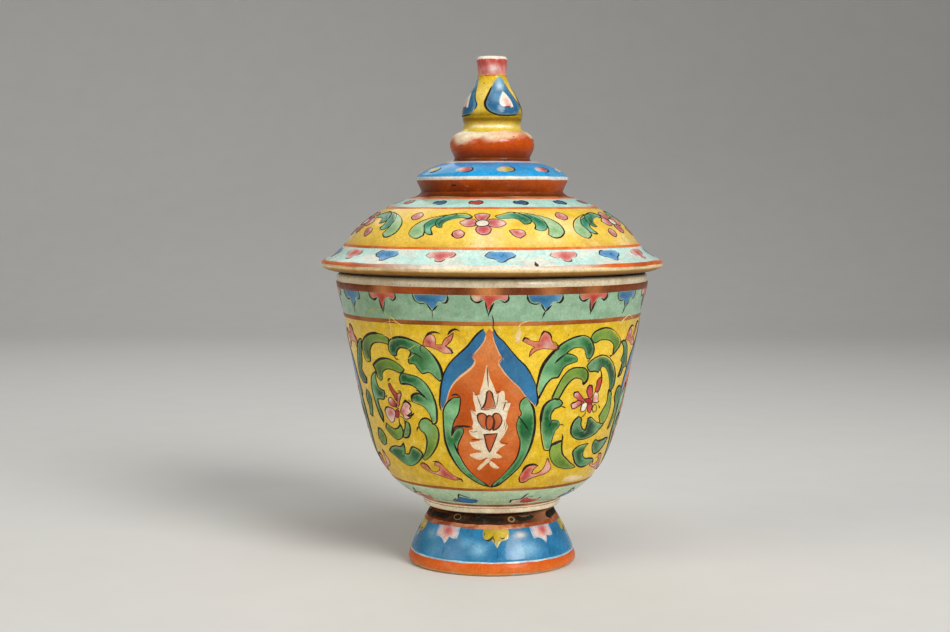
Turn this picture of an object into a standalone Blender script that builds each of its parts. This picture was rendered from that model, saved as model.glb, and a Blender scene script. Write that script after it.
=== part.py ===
"""Covered porcelain cup: a bowl on a flared foot, under a domed lid with a tier and a bud finial.

Units are metres and +Z is up. The origin is the centre of the foot's resting face.
Every member is turned about the Z axis, as it is thrown on the wheel, and luted to the next.
A profile is a list of (radius, height) points, with height 0 at the member's own base.
Angles are in degrees in the profile's plane, from outwards (0) towards upwards (90).
"""

import math

import bmesh
import bpy

# Facets round a full turn, along a long curve and along a short one, and degrees of arc for each facet
TURN_FACETS = 48
LONG_CURVE = 7
SHORT_CURVE = 4
ARC_FACET = 30
MERGE = 0.000001
SHARP_ANGLE = 35

# Joints: the slip between luted faces, the lid above the rim, and its flange inside the mouth
SLIP = 0.0003
SEAT_GAP = 0.0003
FLANGE_PLAY = 0.0010

# Foot: a hollow flared ring
FOOT_HEIGHT = 0.0190
FOOT_RADIUS = 0.0276
FOOT_NECK_RADIUS = 0.0195
FOOT_WALL = 0.0042
FOOT_EDGE_ROUND = 0.0012
FOOT_INNER_ROUND = 0.0006
FOOT_NECK_SLOPE = -59
FOOT_BASE_SLOPE = -78

# Bowl: a ledge over the foot's neck, a rounded turn and a slightly flared wall
BOWL_HEIGHT = 0.0767
BOWL_RIM_RADIUS = 0.0511
BOWL_TURN_RADIUS = 0.0411
BOWL_TURN_HEIGHT = 0.0258
BOWL_WALL = 0.0038
BOWL_FLOOR = 0.0041
BOWL_LEDGE_OVERHANG = 0.0031
BOWL_LEDGE_HEIGHT = 0.0025
BOWL_LEDGE_FLARE = 0.0004
BOWL_LEDGE_ROUND = 0.0007
BOWL_UNDERSIDE_SLOPE = 22
BOWL_TURN_SLOPE = 75
BOWL_RIM_SLOPE = 78

# Lid: a vaulted dome with a recurved brim, a rolled lip, a flat seat and a locating flange
LID_HEIGHT = 0.0245
LID_LIP_OVERHANG = 0.0048
LID_LIP_ROUND = 0.0013
LID_LIP_RISE = 0.0023
LID_SEAT_MARGIN = 0.0004
LID_BRIM_RADIUS = 0.0481
LID_BRIM_HEIGHT = 0.0090
LID_CROWN_MARGIN = 0.0004
LID_WALL = 0.0040
LID_CROWN_THICKNESS = 0.0019
LID_FLANGE_DEPTH = 0.0055
LID_FLANGE_WALL = 0.0030
LID_FLANGE_ROUND = 0.0009
LID_LIP_SLOPE = -26
LID_BRIM_SLOPE = -56
LID_CROWN_SLOPE = -18
LID_UNDERSIDE_SLOPE = 20

# Tier: an undercut disc with a sloping top, flared a little where it stands on the lid
TIER_HEIGHT = 0.0107
TIER_BASE_RADIUS = 0.0237
TIER_WAIST_RADIUS = 0.0231
TIER_WAIST_HEIGHT = 0.0009
TIER_EDGE_RADIUS = 0.0249
TIER_EDGE_HEIGHT = 0.0052
TIER_EDGE_ROUND = 0.0009
TIER_TOP_RADIUS = 0.0146
TIER_TOP_SLOPE = -19
TIER_SHOULDER_SLOPE = -42
TIER_UNDERCUT_SLOPE = -112
TIER_WAIST_SLOPE = -104
TIER_BASE_SLOPE = -40

# Finial: a cushion drawn in to a waist, and a lotus bud with a blunt flared tip
CUSHION_HEIGHT = 0.0114
CUSHION_BASE_RADIUS = 0.0121
CUSHION_RADIUS = 0.0138
CUSHION_BELLY_HEIGHT = 0.0051
CUSHION_SHOULDER_RADIUS = 0.0121
CUSHION_SHOULDER_HEIGHT = 0.0087
CUSHION_SHOULDER_SLOPE = -38
CUSHION_BASE_SLOPE = -97
WAIST_RADIUS = 0.0090
BUD_HEIGHT = 0.0222
BUD_RADIUS = 0.0098
BUD_BELLY_HEIGHT = 0.0032
BUD_NECK_RADIUS = 0.0046
BUD_NECK_HEIGHT = 0.0163
BUD_NECK_SLOPE = -79
BUD_BASE_SLOPE = -112
BUD_TIP_RADIUS = 0.0050
BUD_TIP_ROUND = 0.0009
BUD_TIP_DISH = 0.0006

# Where each member's base lies
BOWL_BASE_Z = FOOT_HEIGHT + SLIP
LID_SEAT_Z = BOWL_BASE_Z + BOWL_HEIGHT + SEAT_GAP
TIER_BASE_Z = LID_SEAT_Z + LID_HEIGHT + SLIP
CUSHION_BASE_Z = TIER_BASE_Z + TIER_HEIGHT + SLIP
BUD_BASE_Z = CUSHION_BASE_Z + CUSHION_HEIGHT + SLIP

# Linear colours of the enamels that cover each member, and the roughness of their glaze
YELLOW = (0.75, 0.53, 0.07)
BLUE = (0.04, 0.18, 0.44)
IRON_RED = (0.63, 0.16, 0.04)
GLAZE_ROUGHNESS = 0.18

# Handle length of a curve, as a share of the distance between its ends
CURVE_FULLNESS = 0.38


def along(point, angle, distance):
    """The point this far from another in a direction."""
    turn = math.radians(angle)
    return (point[0] + distance * math.cos(turn), point[1] + distance * math.sin(turn))


def arc(centre, radius, start, end):
    """Points round an arc from one angle to another, both ends included."""
    steps = max(2, round(abs(end - start) / ARC_FACET))
    return [along(centre, start + (end - start) * i / steps, radius) for i in range(steps + 1)]


def curve(start, start_slope, end, end_slope, steps):
    """Points of a smooth curve that leaves start and reaches end in the given directions."""
    reach = CURVE_FULLNESS * math.dist(start, end)
    handles = (start, along(start, start_slope, reach), along(end, end_slope, -reach), end)
    points = []
    for i in range(steps + 1):
        t = i / steps
        shares = ((1 - t) ** 3, 3 * t * (1 - t) ** 2, 3 * t * t * (1 - t), t**3)
        points.append(tuple(sum(s * h[k] for s, h in zip(shares, handles)) for k in (0, 1)))
    return points


def inset(points, distance):
    """A curve moved sideways by this distance, to the right of the way it runs."""
    moved = []
    for i, point in enumerate(points):
        before = points[max(i - 1, 0)]
        after = points[min(i + 1, len(points) - 1)]
        heading = math.degrees(math.atan2(after[1] - before[1], after[0] - before[0]))
        moved.append(along(point, heading - 90, distance))
    return moved


def foot_profile():
    """A closed ring: the outer flare, the resting face and the hollow inside."""
    outer_edge = (FOOT_RADIUS - FOOT_EDGE_ROUND, FOOT_EDGE_ROUND)
    inner_edge = (FOOT_RADIUS - FOOT_WALL + FOOT_INNER_ROUND, FOOT_INNER_ROUND)
    neck = (FOOT_NECK_RADIUS, FOOT_HEIGHT)
    round_start = FOOT_BASE_SLOPE + 90
    outer_round = arc(outer_edge, FOOT_EDGE_ROUND, round_start, -90)
    inner_round = arc(inner_edge, FOOT_INNER_ROUND, -90, -180)
    outside = curve(neck, FOOT_NECK_SLOPE, outer_round[0], FOOT_BASE_SLOPE, LONG_CURVE)
    inner_neck = (FOOT_NECK_RADIUS - FOOT_WALL, FOOT_HEIGHT)
    inside = curve(inner_round[-1], 90, inner_neck, FOOT_NECK_SLOPE + 180, SHORT_CURVE)
    return outside[:-1] + outer_round + inner_round[:-1] + inside


def bowl_profile():
    """From the floor's middle up inside the bowl, over the rim and down to the underside's middle."""
    rim_round = BOWL_WALL / 2
    inner_turn = (BOWL_TURN_RADIUS - BOWL_WALL, BOWL_TURN_HEIGHT)
    outer_turn = (BOWL_TURN_RADIUS, BOWL_TURN_HEIGHT)
    rim_centre = (BOWL_RIM_RADIUS - rim_round, BOWL_HEIGHT - rim_round)
    rim = arc(rim_centre, rim_round, BOWL_RIM_SLOPE + 90, BOWL_RIM_SLOPE - 90)
    ledge_radius = FOOT_NECK_RADIUS + BOWL_LEDGE_OVERHANG
    ledge_top = (ledge_radius + BOWL_LEDGE_FLARE, BOWL_LEDGE_HEIGHT)
    ledge_edge = (ledge_radius - BOWL_LEDGE_ROUND, BOWL_LEDGE_ROUND)
    floor = curve((0, BOWL_FLOOR), 0, inner_turn, BOWL_TURN_SLOPE, LONG_CURVE)
    inside = curve(inner_turn, BOWL_TURN_SLOPE, rim[0], BOWL_RIM_SLOPE, SHORT_CURVE)
    outside = curve(rim[-1], BOWL_RIM_SLOPE - 180, outer_turn, BOWL_TURN_SLOPE - 180, LONG_CURVE)
    underside = curve(
        outer_turn, BOWL_TURN_SLOPE - 180, ledge_top, BOWL_UNDERSIDE_SLOPE - 180, LONG_CURVE
    )
    ledge = arc(ledge_edge, BOWL_LEDGE_ROUND, 0, -90)
    return floor[:-1] + inside[:-1] + rim + outside[1:-1] + underside + ledge + [(0, 0)]


def lid_profile():
    """From the crown's middle down the outside, round the lip, seat and flange, and up the vault."""
    crown = (TIER_BASE_RADIUS + LID_CROWN_MARGIN, LID_HEIGHT)
    brim = (LID_BRIM_RADIUS, LID_BRIM_HEIGHT)
    lip_centre = (BOWL_RIM_RADIUS + LID_LIP_OVERHANG - LID_LIP_ROUND, LID_LIP_RISE)
    lip = arc(lip_centre, LID_LIP_ROUND, LID_LIP_SLOPE + 90, LID_UNDERSIDE_SLOPE - 90)
    dome = curve(crown, LID_CROWN_SLOPE, brim, LID_BRIM_SLOPE, LONG_CURVE)
    flare = curve(brim, LID_BRIM_SLOPE, lip[0], LID_LIP_SLOPE, SHORT_CURVE)
    seat_edge = (BOWL_RIM_RADIUS + LID_SEAT_MARGIN, 0)
    flange_radius = BOWL_RIM_RADIUS - BOWL_WALL - FLANGE_PLAY
    flange_foot = LID_FLANGE_ROUND - LID_FLANGE_DEPTH
    flange_outer = (flange_radius - LID_FLANGE_ROUND, flange_foot)
    flange_inner = (flange_radius - LID_FLANGE_WALL + LID_FLANGE_ROUND, flange_foot)
    flange = arc(flange_outer, LID_FLANGE_ROUND, 0, -90) + arc(flange_inner, LID_FLANGE_ROUND, -90, -180)
    vault = inset(dome, LID_WALL)[::-1]
    apex = (0, LID_HEIGHT - LID_CROWN_THICKNESS)
    vault += curve(vault[-1], LID_CROWN_SLOPE + 180, apex, 180, SHORT_CURVE)[1:]
    outside = [(0, LID_HEIGHT)] + dome[:-1] + flare[:-1] + lip
    return outside + [seat_edge, (flange_radius, 0)] + flange + vault


def tier_profile():
    """From the top's middle down the slope, round the edge, down the undercut and out to the base."""
    top = (TIER_TOP_RADIUS, TIER_HEIGHT)
    edge_centre = (TIER_EDGE_RADIUS - TIER_EDGE_ROUND, TIER_EDGE_HEIGHT)
    edge = arc(edge_centre, TIER_EDGE_ROUND, TIER_SHOULDER_SLOPE + 90, TIER_UNDERCUT_SLOPE + 90)
    slope = curve(top, TIER_TOP_SLOPE, edge[0], TIER_SHOULDER_SLOPE, SHORT_CURVE)
    waist = (TIER_WAIST_RADIUS, TIER_WAIST_HEIGHT)
    undercut = curve(edge[-1], TIER_UNDERCUT_SLOPE, waist, TIER_WAIST_SLOPE, SHORT_CURVE)
    cove = curve(waist, TIER_WAIST_SLOPE, (TIER_BASE_RADIUS, 0), TIER_BASE_SLOPE, SHORT_CURVE)
    return [(0, TIER_HEIGHT)] + slope[:-1] + edge + undercut[1:-1] + cove + [(0, 0)]


def cushion_profile():
    """From the waist's middle down the cove, over the belly and in to the base."""
    waist = (WAIST_RADIUS, CUSHION_HEIGHT)
    shoulder = (CUSHION_SHOULDER_RADIUS, CUSHION_SHOULDER_HEIGHT)
    belly = (CUSHION_RADIUS, CUSHION_BELLY_HEIGHT)
    base = (CUSHION_BASE_RADIUS, 0)
    cove = curve(waist, -90, shoulder, CUSHION_SHOULDER_SLOPE, SHORT_CURVE)
    upper = curve(shoulder, CUSHION_SHOULDER_SLOPE, belly, -90, SHORT_CURVE)
    lower = curve(belly, -90, base, CUSHION_BASE_SLOPE, SHORT_CURVE)
    return [(0, CUSHION_HEIGHT)] + cove[:-1] + upper[:-1] + lower + [(0, 0)]


def bud_profile():
    """From the dished tip down the neck, over the belly and in to the waist."""
    tip_centre = (BUD_TIP_RADIUS - BUD_TIP_ROUND, BUD_HEIGHT - BUD_TIP_ROUND)
    neck = (BUD_NECK_RADIUS, BUD_NECK_HEIGHT)
    belly = (BUD_RADIUS, BUD_BELLY_HEIGHT)
    tip = arc(tip_centre, BUD_TIP_ROUND, 90, 0)
    dish = curve((0, BUD_HEIGHT - BUD_TIP_DISH), 0, tip[0], 0, SHORT_CURVE)
    throat = curve(tip[-1], -90, neck, -90, SHORT_CURVE)
    ogee = curve(neck, BUD_NECK_SLOPE, belly, -90, LONG_CURVE)
    lower = curve(belly, -90, (WAIST_RADIUS, 0), BUD_BASE_SLOPE, SHORT_CURVE)
    return dish[:-1] + tip + throat[1:-1] + ogee[:-1] + lower + [(0, 0)]


def turned_mesh(name, profile):
    """A closed mesh turned from a profile that is a ring or runs from the axis to the axis."""
    bm = bmesh.new()
    corners = [bm.verts.new((radius, 0, height)) for radius, height in profile]
    sides = [bm.edges.new(ends) for ends in zip(corners, corners[1:])]
    if profile[0][0] > 0:
        sides.append(bm.edges.new((corners[-1], corners[0])))
    bmesh.ops.spin(
        bm, geom=corners + sides, axis=(0, 0, 1), angle=math.tau, steps=TURN_FACETS, use_merge=True
    )
    bmesh.ops.remove_doubles(bm, verts=bm.verts, dist=MERGE)
    bmesh.ops.recalc_face_normals(bm, faces=bm.faces)
    mesh = bpy.data.meshes.new(name)
    bm.to_mesh(mesh)
    bm.free()
    mesh.shade_smooth()
    mesh.set_sharp_from_angle(angle=math.radians(SHARP_ANGLE))
    return mesh


def glaze(name, colour):
    """A glossy enamel of one colour."""
    material = bpy.data.materials.new(name)
    material.use_nodes = True
    shader = material.node_tree.nodes["Principled BSDF"]
    shader.inputs["Base Color"].default_value = (*colour, 1)
    shader.inputs["Roughness"].default_value = GLAZE_ROUGHNESS
    shader.inputs["Metallic"].default_value = 0
    return material


def assembly(name, height):
    """An empty on the turning axis that carries the members which move together."""
    empty = bpy.data.objects.new(name, None)
    empty.location.z = height
    bpy.context.scene.collection.objects.link(empty)
    return empty


def member(name, profile, base_z, colour, parent):
    """One turned member, with its base at this height above the resting face."""
    part = bpy.data.objects.new(name, turned_mesh(name, profile))
    part.data.materials.append(glaze(name + "_glaze", colour))
    part.parent = parent
    part.location.z = base_z - parent.location.z
    bpy.context.scene.collection.objects.link(part)
    return part


def main():
    for old in list(bpy.data.objects):
        bpy.data.objects.remove(old)
    cup = assembly("cup", 0)
    member("foot", foot_profile(), 0, BLUE, cup)
    member("bowl", bowl_profile(), BOWL_BASE_Z, YELLOW, cup)
    lid = assembly("lid", LID_SEAT_Z)
    member("lid_dome", lid_profile(), LID_SEAT_Z, YELLOW, lid)
    member("lid_tier", tier_profile(), TIER_BASE_Z, BLUE, lid)
    member("finial_cushion", cushion_profile(), CUSHION_BASE_Z, IRON_RED, lid)
    member("finial_bud", bud_profile(), BUD_BASE_Z, YELLOW, lid)


main()
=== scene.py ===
"""Looks of the covered cup: fine glazed bodies, with enamels laid on them as thin raised films."""

import math
import random

import bmesh
import bpy
import numpy as np
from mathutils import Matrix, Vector
from mathutils.geometry import delaunay_2d_cdt


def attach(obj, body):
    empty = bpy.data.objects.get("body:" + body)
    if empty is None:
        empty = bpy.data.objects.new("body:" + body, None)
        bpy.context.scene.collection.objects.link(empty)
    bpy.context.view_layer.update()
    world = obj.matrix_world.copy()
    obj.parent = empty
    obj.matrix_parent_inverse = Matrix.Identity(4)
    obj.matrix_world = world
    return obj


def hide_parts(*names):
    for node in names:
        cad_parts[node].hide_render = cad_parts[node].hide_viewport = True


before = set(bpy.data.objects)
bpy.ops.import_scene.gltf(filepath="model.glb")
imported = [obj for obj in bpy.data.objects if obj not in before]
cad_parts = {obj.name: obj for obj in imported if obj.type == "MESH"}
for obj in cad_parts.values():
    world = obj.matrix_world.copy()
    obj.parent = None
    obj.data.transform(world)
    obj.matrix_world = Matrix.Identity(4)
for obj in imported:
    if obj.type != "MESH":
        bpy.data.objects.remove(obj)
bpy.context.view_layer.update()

MM = 0.001
random.seed(7)

# What counts as nothing: a distance from the axis, a side, a squared side, and a gap between points
OFF_AXIS = 1e-6
NO_LENGTH = 1e-9
NO_SQUARE = 1e-12
WELD = 1e-5

# Fine bodies: facets round a turn, spacing along a profile, and the turn that keeps a corner sharp
BODY_FACETS = 216
BODY_STEP = 1.4
BODY_CORNER = 32
GLAZE_ROUND = 0.5
ROUND_MOST = 0.45
ROUND_STEPS = 5
SKIN_STEP = 0.2
SKIN_ROWS = 600
SKIN_END = 0.1

# Strays of the potter's and the painter's hands: waves of (height in mm, waves a turn, pitch in mm)
UNEVEN = ((0.05, 2, 23), (0.04, 5, -11), (0.03, 0, 1.9))
SWAY_ALONG = ((0.6, 3, 9), (0.4, 8, -6))
SWAY_UP = ((0.2, 4, 13), (0.12, 11, 5))

# Enamel films, in millimetres: spacing of points along an edge and inside, thickness and edge roll
EDGE_STEP = 0.5
LINE_STEP = EDGE_STEP * 1.2
FILL_STEP = 1.0
ROW_SHARE = 0.866
FILM = 0.07
FILM_ROLL = 0.35
SHELF_GAP = FILM_ROLL * 0.85
CORE_GAP = FILM_ROLL * 2
LAYER = 0.05
OVERLAP = 0.14
SINK = 0.02
PATH_CORNER = 62

# How far a paler or darker edge reaches into a film, and by what share
RIM_REACH = 0.8
RIM_SHARE = 0.55

# Brush lines: their section, the slanted brush, the hand's pressure along them, and how loosely they run
LINE_HEIGHT = 0.04
LINE_TOP = 0.65
BRUSH_SLANT = np.array((0.5, 0.866))
BRUSH_THIN = 0.65
BRUSH_FULL = 1.25
PRESS_WAVE = 0.12
PRESS_SHARES = (0.26, 0.18, 0.12)
PRESS_PACES = (0.5, 2.2)
PRESS_LEAST = 0.35
TIP_SHARE = 0.25
TIP_STEPS = 3
LOOSE = 1.03
SLIP_SHARE = 0.7
PRESSED_WIDTH = 1.45

# Bands round a turn: facets, rows, edges, wear, and blotches as (share, fewest and most waves, lean)
RING_FACETS = 300
RING_ANGLES = np.arange(RING_FACETS) * math.tau / RING_FACETS
RING_STEP = 0.6
RING_INSET = 0.35
RIPPLES = 6
EDGE_WAVES = (2, 24)
BLOT_LEVEL = 0.3
BLOTS = ((1.0, 2, 18, 1.5), (0.5, 18, 70, 3.0))
STREAKS = ((1.0, 2, 9, 2.0), (0.5, 8, 26, 5.0))
WORN_FROM, WORN_OVER = 0.22, 0.5

# Slip over a joint: rows of its section, drift of its colours, and the painted highlight on its front
FILLET_ROWS = 9
FILLET_DRIFT = 0.15
SLIP_WAVES = (2, 12)
HIGHLIGHT_AT, HIGHLIGHT_REACH, HIGHLIGHT_TURN = 0.3, 0.16, 0.3
HIGHLIGHT_TINT = (0.95, 0.9, 0.62)

# The traced front reaches this far round each way, and the hand-painted strays fade in behind it
FRONT_HALF = math.radians(75)
FRONT_FADE = math.radians(25)


def srgb(red, green, blue):
    """A linear colour from its display value, 0 to 255."""
    parts = np.array((red, green, blue)) / 255
    return np.where(parts <= 0.04045, parts / 12.92, ((parts + 0.055) / 1.055) ** 2.4)


# Palette of the enamels
CREAM = srgb(222, 208, 178)
WHITE = srgb(238, 231, 214)
YELLOW = srgb(212, 173, 16)
LEMON = srgb(240, 205, 96)
CELADON = srgb(138, 172, 142)
PALE_CELADON = srgb(172, 222, 208)
BLUE = srgb(44, 106, 148)
AZURE = srgb(48, 134, 190)
DEEP_BLUE = srgb(16, 62, 108)
SKY = srgb(134, 184, 212)
ORANGE = srgb(196, 86, 10)
LINE_ORANGE = srgb(224, 108, 36)
PEACH = srgb(214, 138, 80)
RUST = srgb(142, 60, 8)
BROWN = srgb(88, 40, 10)
GREEN = srgb(14, 103, 48)
DEEP_GREEN = srgb(0, 56, 28)
MIST_GREEN = srgb(140, 196, 142)
PALE_LEAF = srgb(158, 202, 138)
TEAL = srgb(38, 132, 102)
PALE_TEAL = srgb(150, 210, 184)
LEAF = srgb(98, 131, 44)
OLIVE = srgb(60, 88, 12)
SPRING = srgb(156, 182, 78)
ROSE = srgb(194, 74, 72)
PINK = srgb(222, 142, 136)
CRIMSON = srgb(166, 34, 32)
BLUSH = srgb(240, 210, 196)
BRICK = srgb(184, 90, 48)
INK = srgb(28, 20, 10)
LEAF_INK = srgb(30, 40, 18)
BISCUIT = srgb(178, 132, 62)
SOOT = srgb(44, 26, 10)

# Shades of the bowl's borders
BORDER_CELADON = srgb(146, 180, 150)
DEEP_CELADON = srgb(112, 154, 120)
LOW_CELADON = srgb(178, 206, 166)
MILKY_CELADON = srgb(196, 218, 184)
RIM_BROWN = srgb(116, 52, 8)
LINE_BROWN = srgb(146, 72, 12)
WORN_TAN = srgb(196, 134, 74)
LOW_LINE = srgb(160, 82, 22)
PENDANT_RED = srgb(188, 62, 50)
RED_EDGE = srgb(204, 128, 96)
BLUE_EDGE = srgb(96, 140, 172)

# Shades of the bowl's motifs
HALO = srgb(228, 174, 118)
FLAME = srgb(222, 203, 170)
FLAME_EDGE = srgb(230, 182, 134)
DETAIL_INK = srgb(74, 34, 14)
CRACK_INK = srgb(104, 56, 26)
SAGE = srgb(110, 136, 84)
PETAL_INK = srgb(96, 26, 22)
VERMILION = srgb(198, 70, 52)
CINNABAR = srgb(172, 62, 44)
DUSTY_ROSE = srgb(204, 110, 112)
LIME = srgb(206, 196, 70)
BUD_EDGE = srgb(238, 186, 130)
BUD_INK = srgb(120, 40, 24)

# Shades of the lid
LID_CELADON = srgb(178, 228, 216)
PALE_LID_CELADON = srgb(212, 238, 230)
BRIM_CELADON = srgb(196, 234, 226)
WORN_ORANGE = srgb(240, 160, 100)
LIP_ORANGE = srgb(220, 104, 28)
LIP_RUST = srgb(140, 50, 4)
CORNFLOWER = srgb(98, 160, 214)
ASH_INK = srgb(70, 56, 50)
WINE_INK = srgb(84, 44, 36)
DARK_WINE_INK = srgb(70, 36, 30)
FAINT_INK = srgb(110, 74, 60)
SPRAY_PALE = srgb(176, 206, 162)
SPRAY_GREEN = srgb(132, 178, 112)
SPRAY_ROSE = srgb(204, 88, 92)
SPRAY_INK = srgb(88, 34, 28)
DROP_ROSE = srgb(202, 90, 96)

# Shades of the finial
TIER_GREY = srgb(196, 206, 206)
TIER_RUST = srgb(110, 40, 2)
TIER_ORANGE = srgb(174, 72, 4)
BRIGHT_ORANGE = srgb(234, 124, 44)
IVORY = srgb(250, 236, 208)
CUSHION_ORANGE = srgb(188, 73, 5)
CUSHION_CREAM = srgb(248, 226, 190)
# A pale blue for the painted highlights on the bud's petals
PETAL_HIGHLIGHT = srgb(196, 220, 232)
PETAL_EDGE = srgb(150, 176, 150)
OXBLOOD = srgb(110, 24, 20)
TIP_PALE = srgb(238, 218, 214)
TIP_PINK = srgb(218, 142, 136)
TIP_RED = srgb(186, 58, 48)
SEAM_TAN = srgb(190, 104, 52)
# The waist's slip: bright yellow, a painted highlight, into dark olive, painted shade under the bud
WAIST_YELLOW = srgb(228, 198, 84)
WAIST_OLIVE = srgb(144, 112, 2)

# Shades of the foot
# COLLAR is darkened in part as painted shade under the bowl's ledge
COLLAR = srgb(64, 29, 4)
COLLAR_WORN = srgb(186, 122, 86)
COLLAR_EDGE = srgb(150, 70, 34)
COLLAR_DUST = srgb(206, 150, 112)
COLLAR_RING = srgb(150, 118, 66)
FOOT_LINE = srgb(150, 186, 206)
FOOT_ORANGE = srgb(206, 110, 44)
FOOT_BLOTCH = srgb(222, 104, 34)
FOOT_TOP_ORANGE = srgb(206, 82, 6)
FOOT_BLUE = srgb(34, 116, 160)
LILY = srgb(236, 214, 202)
LILY_EDGE = srgb(120, 166, 196)
FOOT_YELLOW = srgb(176, 150, 32)
FOOT_GOLD = srgb(196, 170, 40)
FOOT_YELLOW_EDGE = srgb(156, 156, 96)
FOOT_INK = srgb(58, 50, 8)

# Shades of wear, of the clay and its painted shade under the bowl, and of the grounds
SMEAR = srgb(160, 168, 92)
SCRATCH = srgb(232, 198, 106)
SCUFF = srgb(226, 200, 150)
RUBBED = srgb(232, 208, 160)
STAIN = srgb(168, 100, 20)
SPECK = srgb(80, 48, 16)
OFF_WHITE = srgb(226, 222, 204)
DARK_BISCUIT = srgb(150, 108, 54)
PALE_UNDERSIDE_SHADE = srgb(84, 54, 26)
STRAW = srgb(242, 216, 106)
PALE_STRAW = srgb(252, 232, 172)
PAPER = srgb(226, 225, 222)
PALE_PAPER = srgb(232, 231, 228)


# Profiles, read from the frame's own solids


def meridian(node):
    """The (radius, height) points, in millimetres, of a turned node's profile, in order."""
    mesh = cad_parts[node].data
    on_plane = {}
    for vertex in mesh.vertices:
        if abs(vertex.co.y) < OFF_AXIS and vertex.co.x > -OFF_AXIS:
            on_plane[vertex.index] = (round(vertex.co.x / MM, 3), round(vertex.co.z / MM, 3))
    links = {}
    for edge in mesh.edges:
        ends = [on_plane.get(i) for i in edge.vertices]
        if None not in ends and ends[0] != ends[1]:
            links.setdefault(ends[0], set()).add(ends[1])
            links.setdefault(ends[1], set()).add(ends[0])
    tips = sorted((p for p in links if len(links[p]) == 1), key=lambda p: -p[1])
    path = [tips[0] if tips else max(links, key=lambda p: (p[1], p[0]))]
    if not tips:
        path.append(max(links[path[0]]))
    while True:
        following = [p for p in links[path[-1]] if len(path) < 2 or p != path[-2]]
        if not following or following[0] == path[0]:
            break
        path.append(following[0])
    if tips:
        path = [(0.0, path[0][1])] * (path[0][0] > 0) + path + [(0.0, path[-1][1])] * (path[-1][0] > 0)
    return softened(np.array(path), not tips), not tips


def softened(path, closed):
    """A profile whose sharp corners are rounded, as melted glaze rounds them."""
    out = []
    count = len(path)
    for i, corner in enumerate(path):
        before, after = path[i - 1] - corner, path[(i + 1) % count] - corner
        spans = math.hypot(*before), math.hypot(*after)
        turn = math.pi - math.acos(np.clip(before @ after / (spans[0] * spans[1]), -1, 1))
        if turn < math.radians(BODY_CORNER) or (not closed and i in (0, count - 1)):
            out.append(corner)
            continue
        start = corner + before * min(GLAZE_ROUND / spans[0], ROUND_MOST)
        end = corner + after * min(GLAZE_ROUND / spans[1], ROUND_MOST)
        for t in np.linspace(0, 1, ROUND_STEPS):
            out.append((1 - t) ** 2 * start + 2 * t * (1 - t) * corner + t * t * end)
    return np.array(out)


def smooth(points, step, corner, closed):
    """Points on a smooth curve through the given ones; a sharper turn than corner stays sharp."""
    points = np.asarray(points, float)
    count = len(points)
    last = count if closed else count - 1
    ways = np.roll(points, -1, 0) - points
    spans = np.maximum(np.hypot(*ways.T), NO_LENGTH)
    headings = np.unwrap(np.arctan2(ways[:, 1], ways[:, 0]))
    tangents = []
    for i in range(count):
        before, after = i - 1, i
        turn = math.remainder(headings[after] - headings[before], math.tau)
        ended = not closed and i in (0, count - 1)
        if ended or abs(turn) > math.radians(corner):
            tangents.append(None)
            continue
        slow = ways[before] / spans[before]
        fast = ways[after] / spans[after]
        tangents.append((slow * spans[after] + fast * spans[before]) / (spans[before] + spans[after]))
    out = []
    for i in range(last):
        j = (i + 1) % count
        chord = ways[i] / spans[i]
        leave = chord if tangents[i] is None else tangents[i]
        arrive = chord if tangents[j] is None else tangents[j]
        if tangents[i] is None and tangents[j] is not None:
            leave = 1.5 * chord - 0.5 * arrive
        if tangents[j] is None and tangents[i] is not None:
            arrive = 1.5 * chord - 0.5 * leave
        steps = max(1, math.ceil(spans[i] / step))
        for t in np.arange(steps) / steps:
            a, b = (1 + 2 * t) * (1 - t) ** 2, t * (1 - t) ** 2
            c, d = t * t * (3 - 2 * t), t * t * (t - 1)
            out.append(a * points[i] + b * spans[i] * leave + c * points[j] + d * spans[i] * arrive)
    if not closed:
        out.append(points[-1])
    return np.array(out)


def waves(table, angle, z):
    """The sum of a table's waves at an angle and a height."""
    return sum(height * np.sin(count * angle + z / pitch) for height, count, pitch in table)


def unevenness(angle, z):
    """How far a hand-thrown wall strays from a true turn, in millimetres."""
    return waves(UNEVEN, angle, z)


def sway(angle, z):
    """How far, in millimetres, along and up, the painter's repeats stray behind the traced front."""
    aside = np.abs(np.remainder(angle + math.pi, math.tau) - math.pi)
    away = np.clip((aside - FRONT_HALF) / FRONT_FADE, 0, 1)
    return waves(SWAY_ALONG, angle, z) * away, waves(SWAY_UP, angle, z) * away


# Skins, and the films and lines that lie on them


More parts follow.
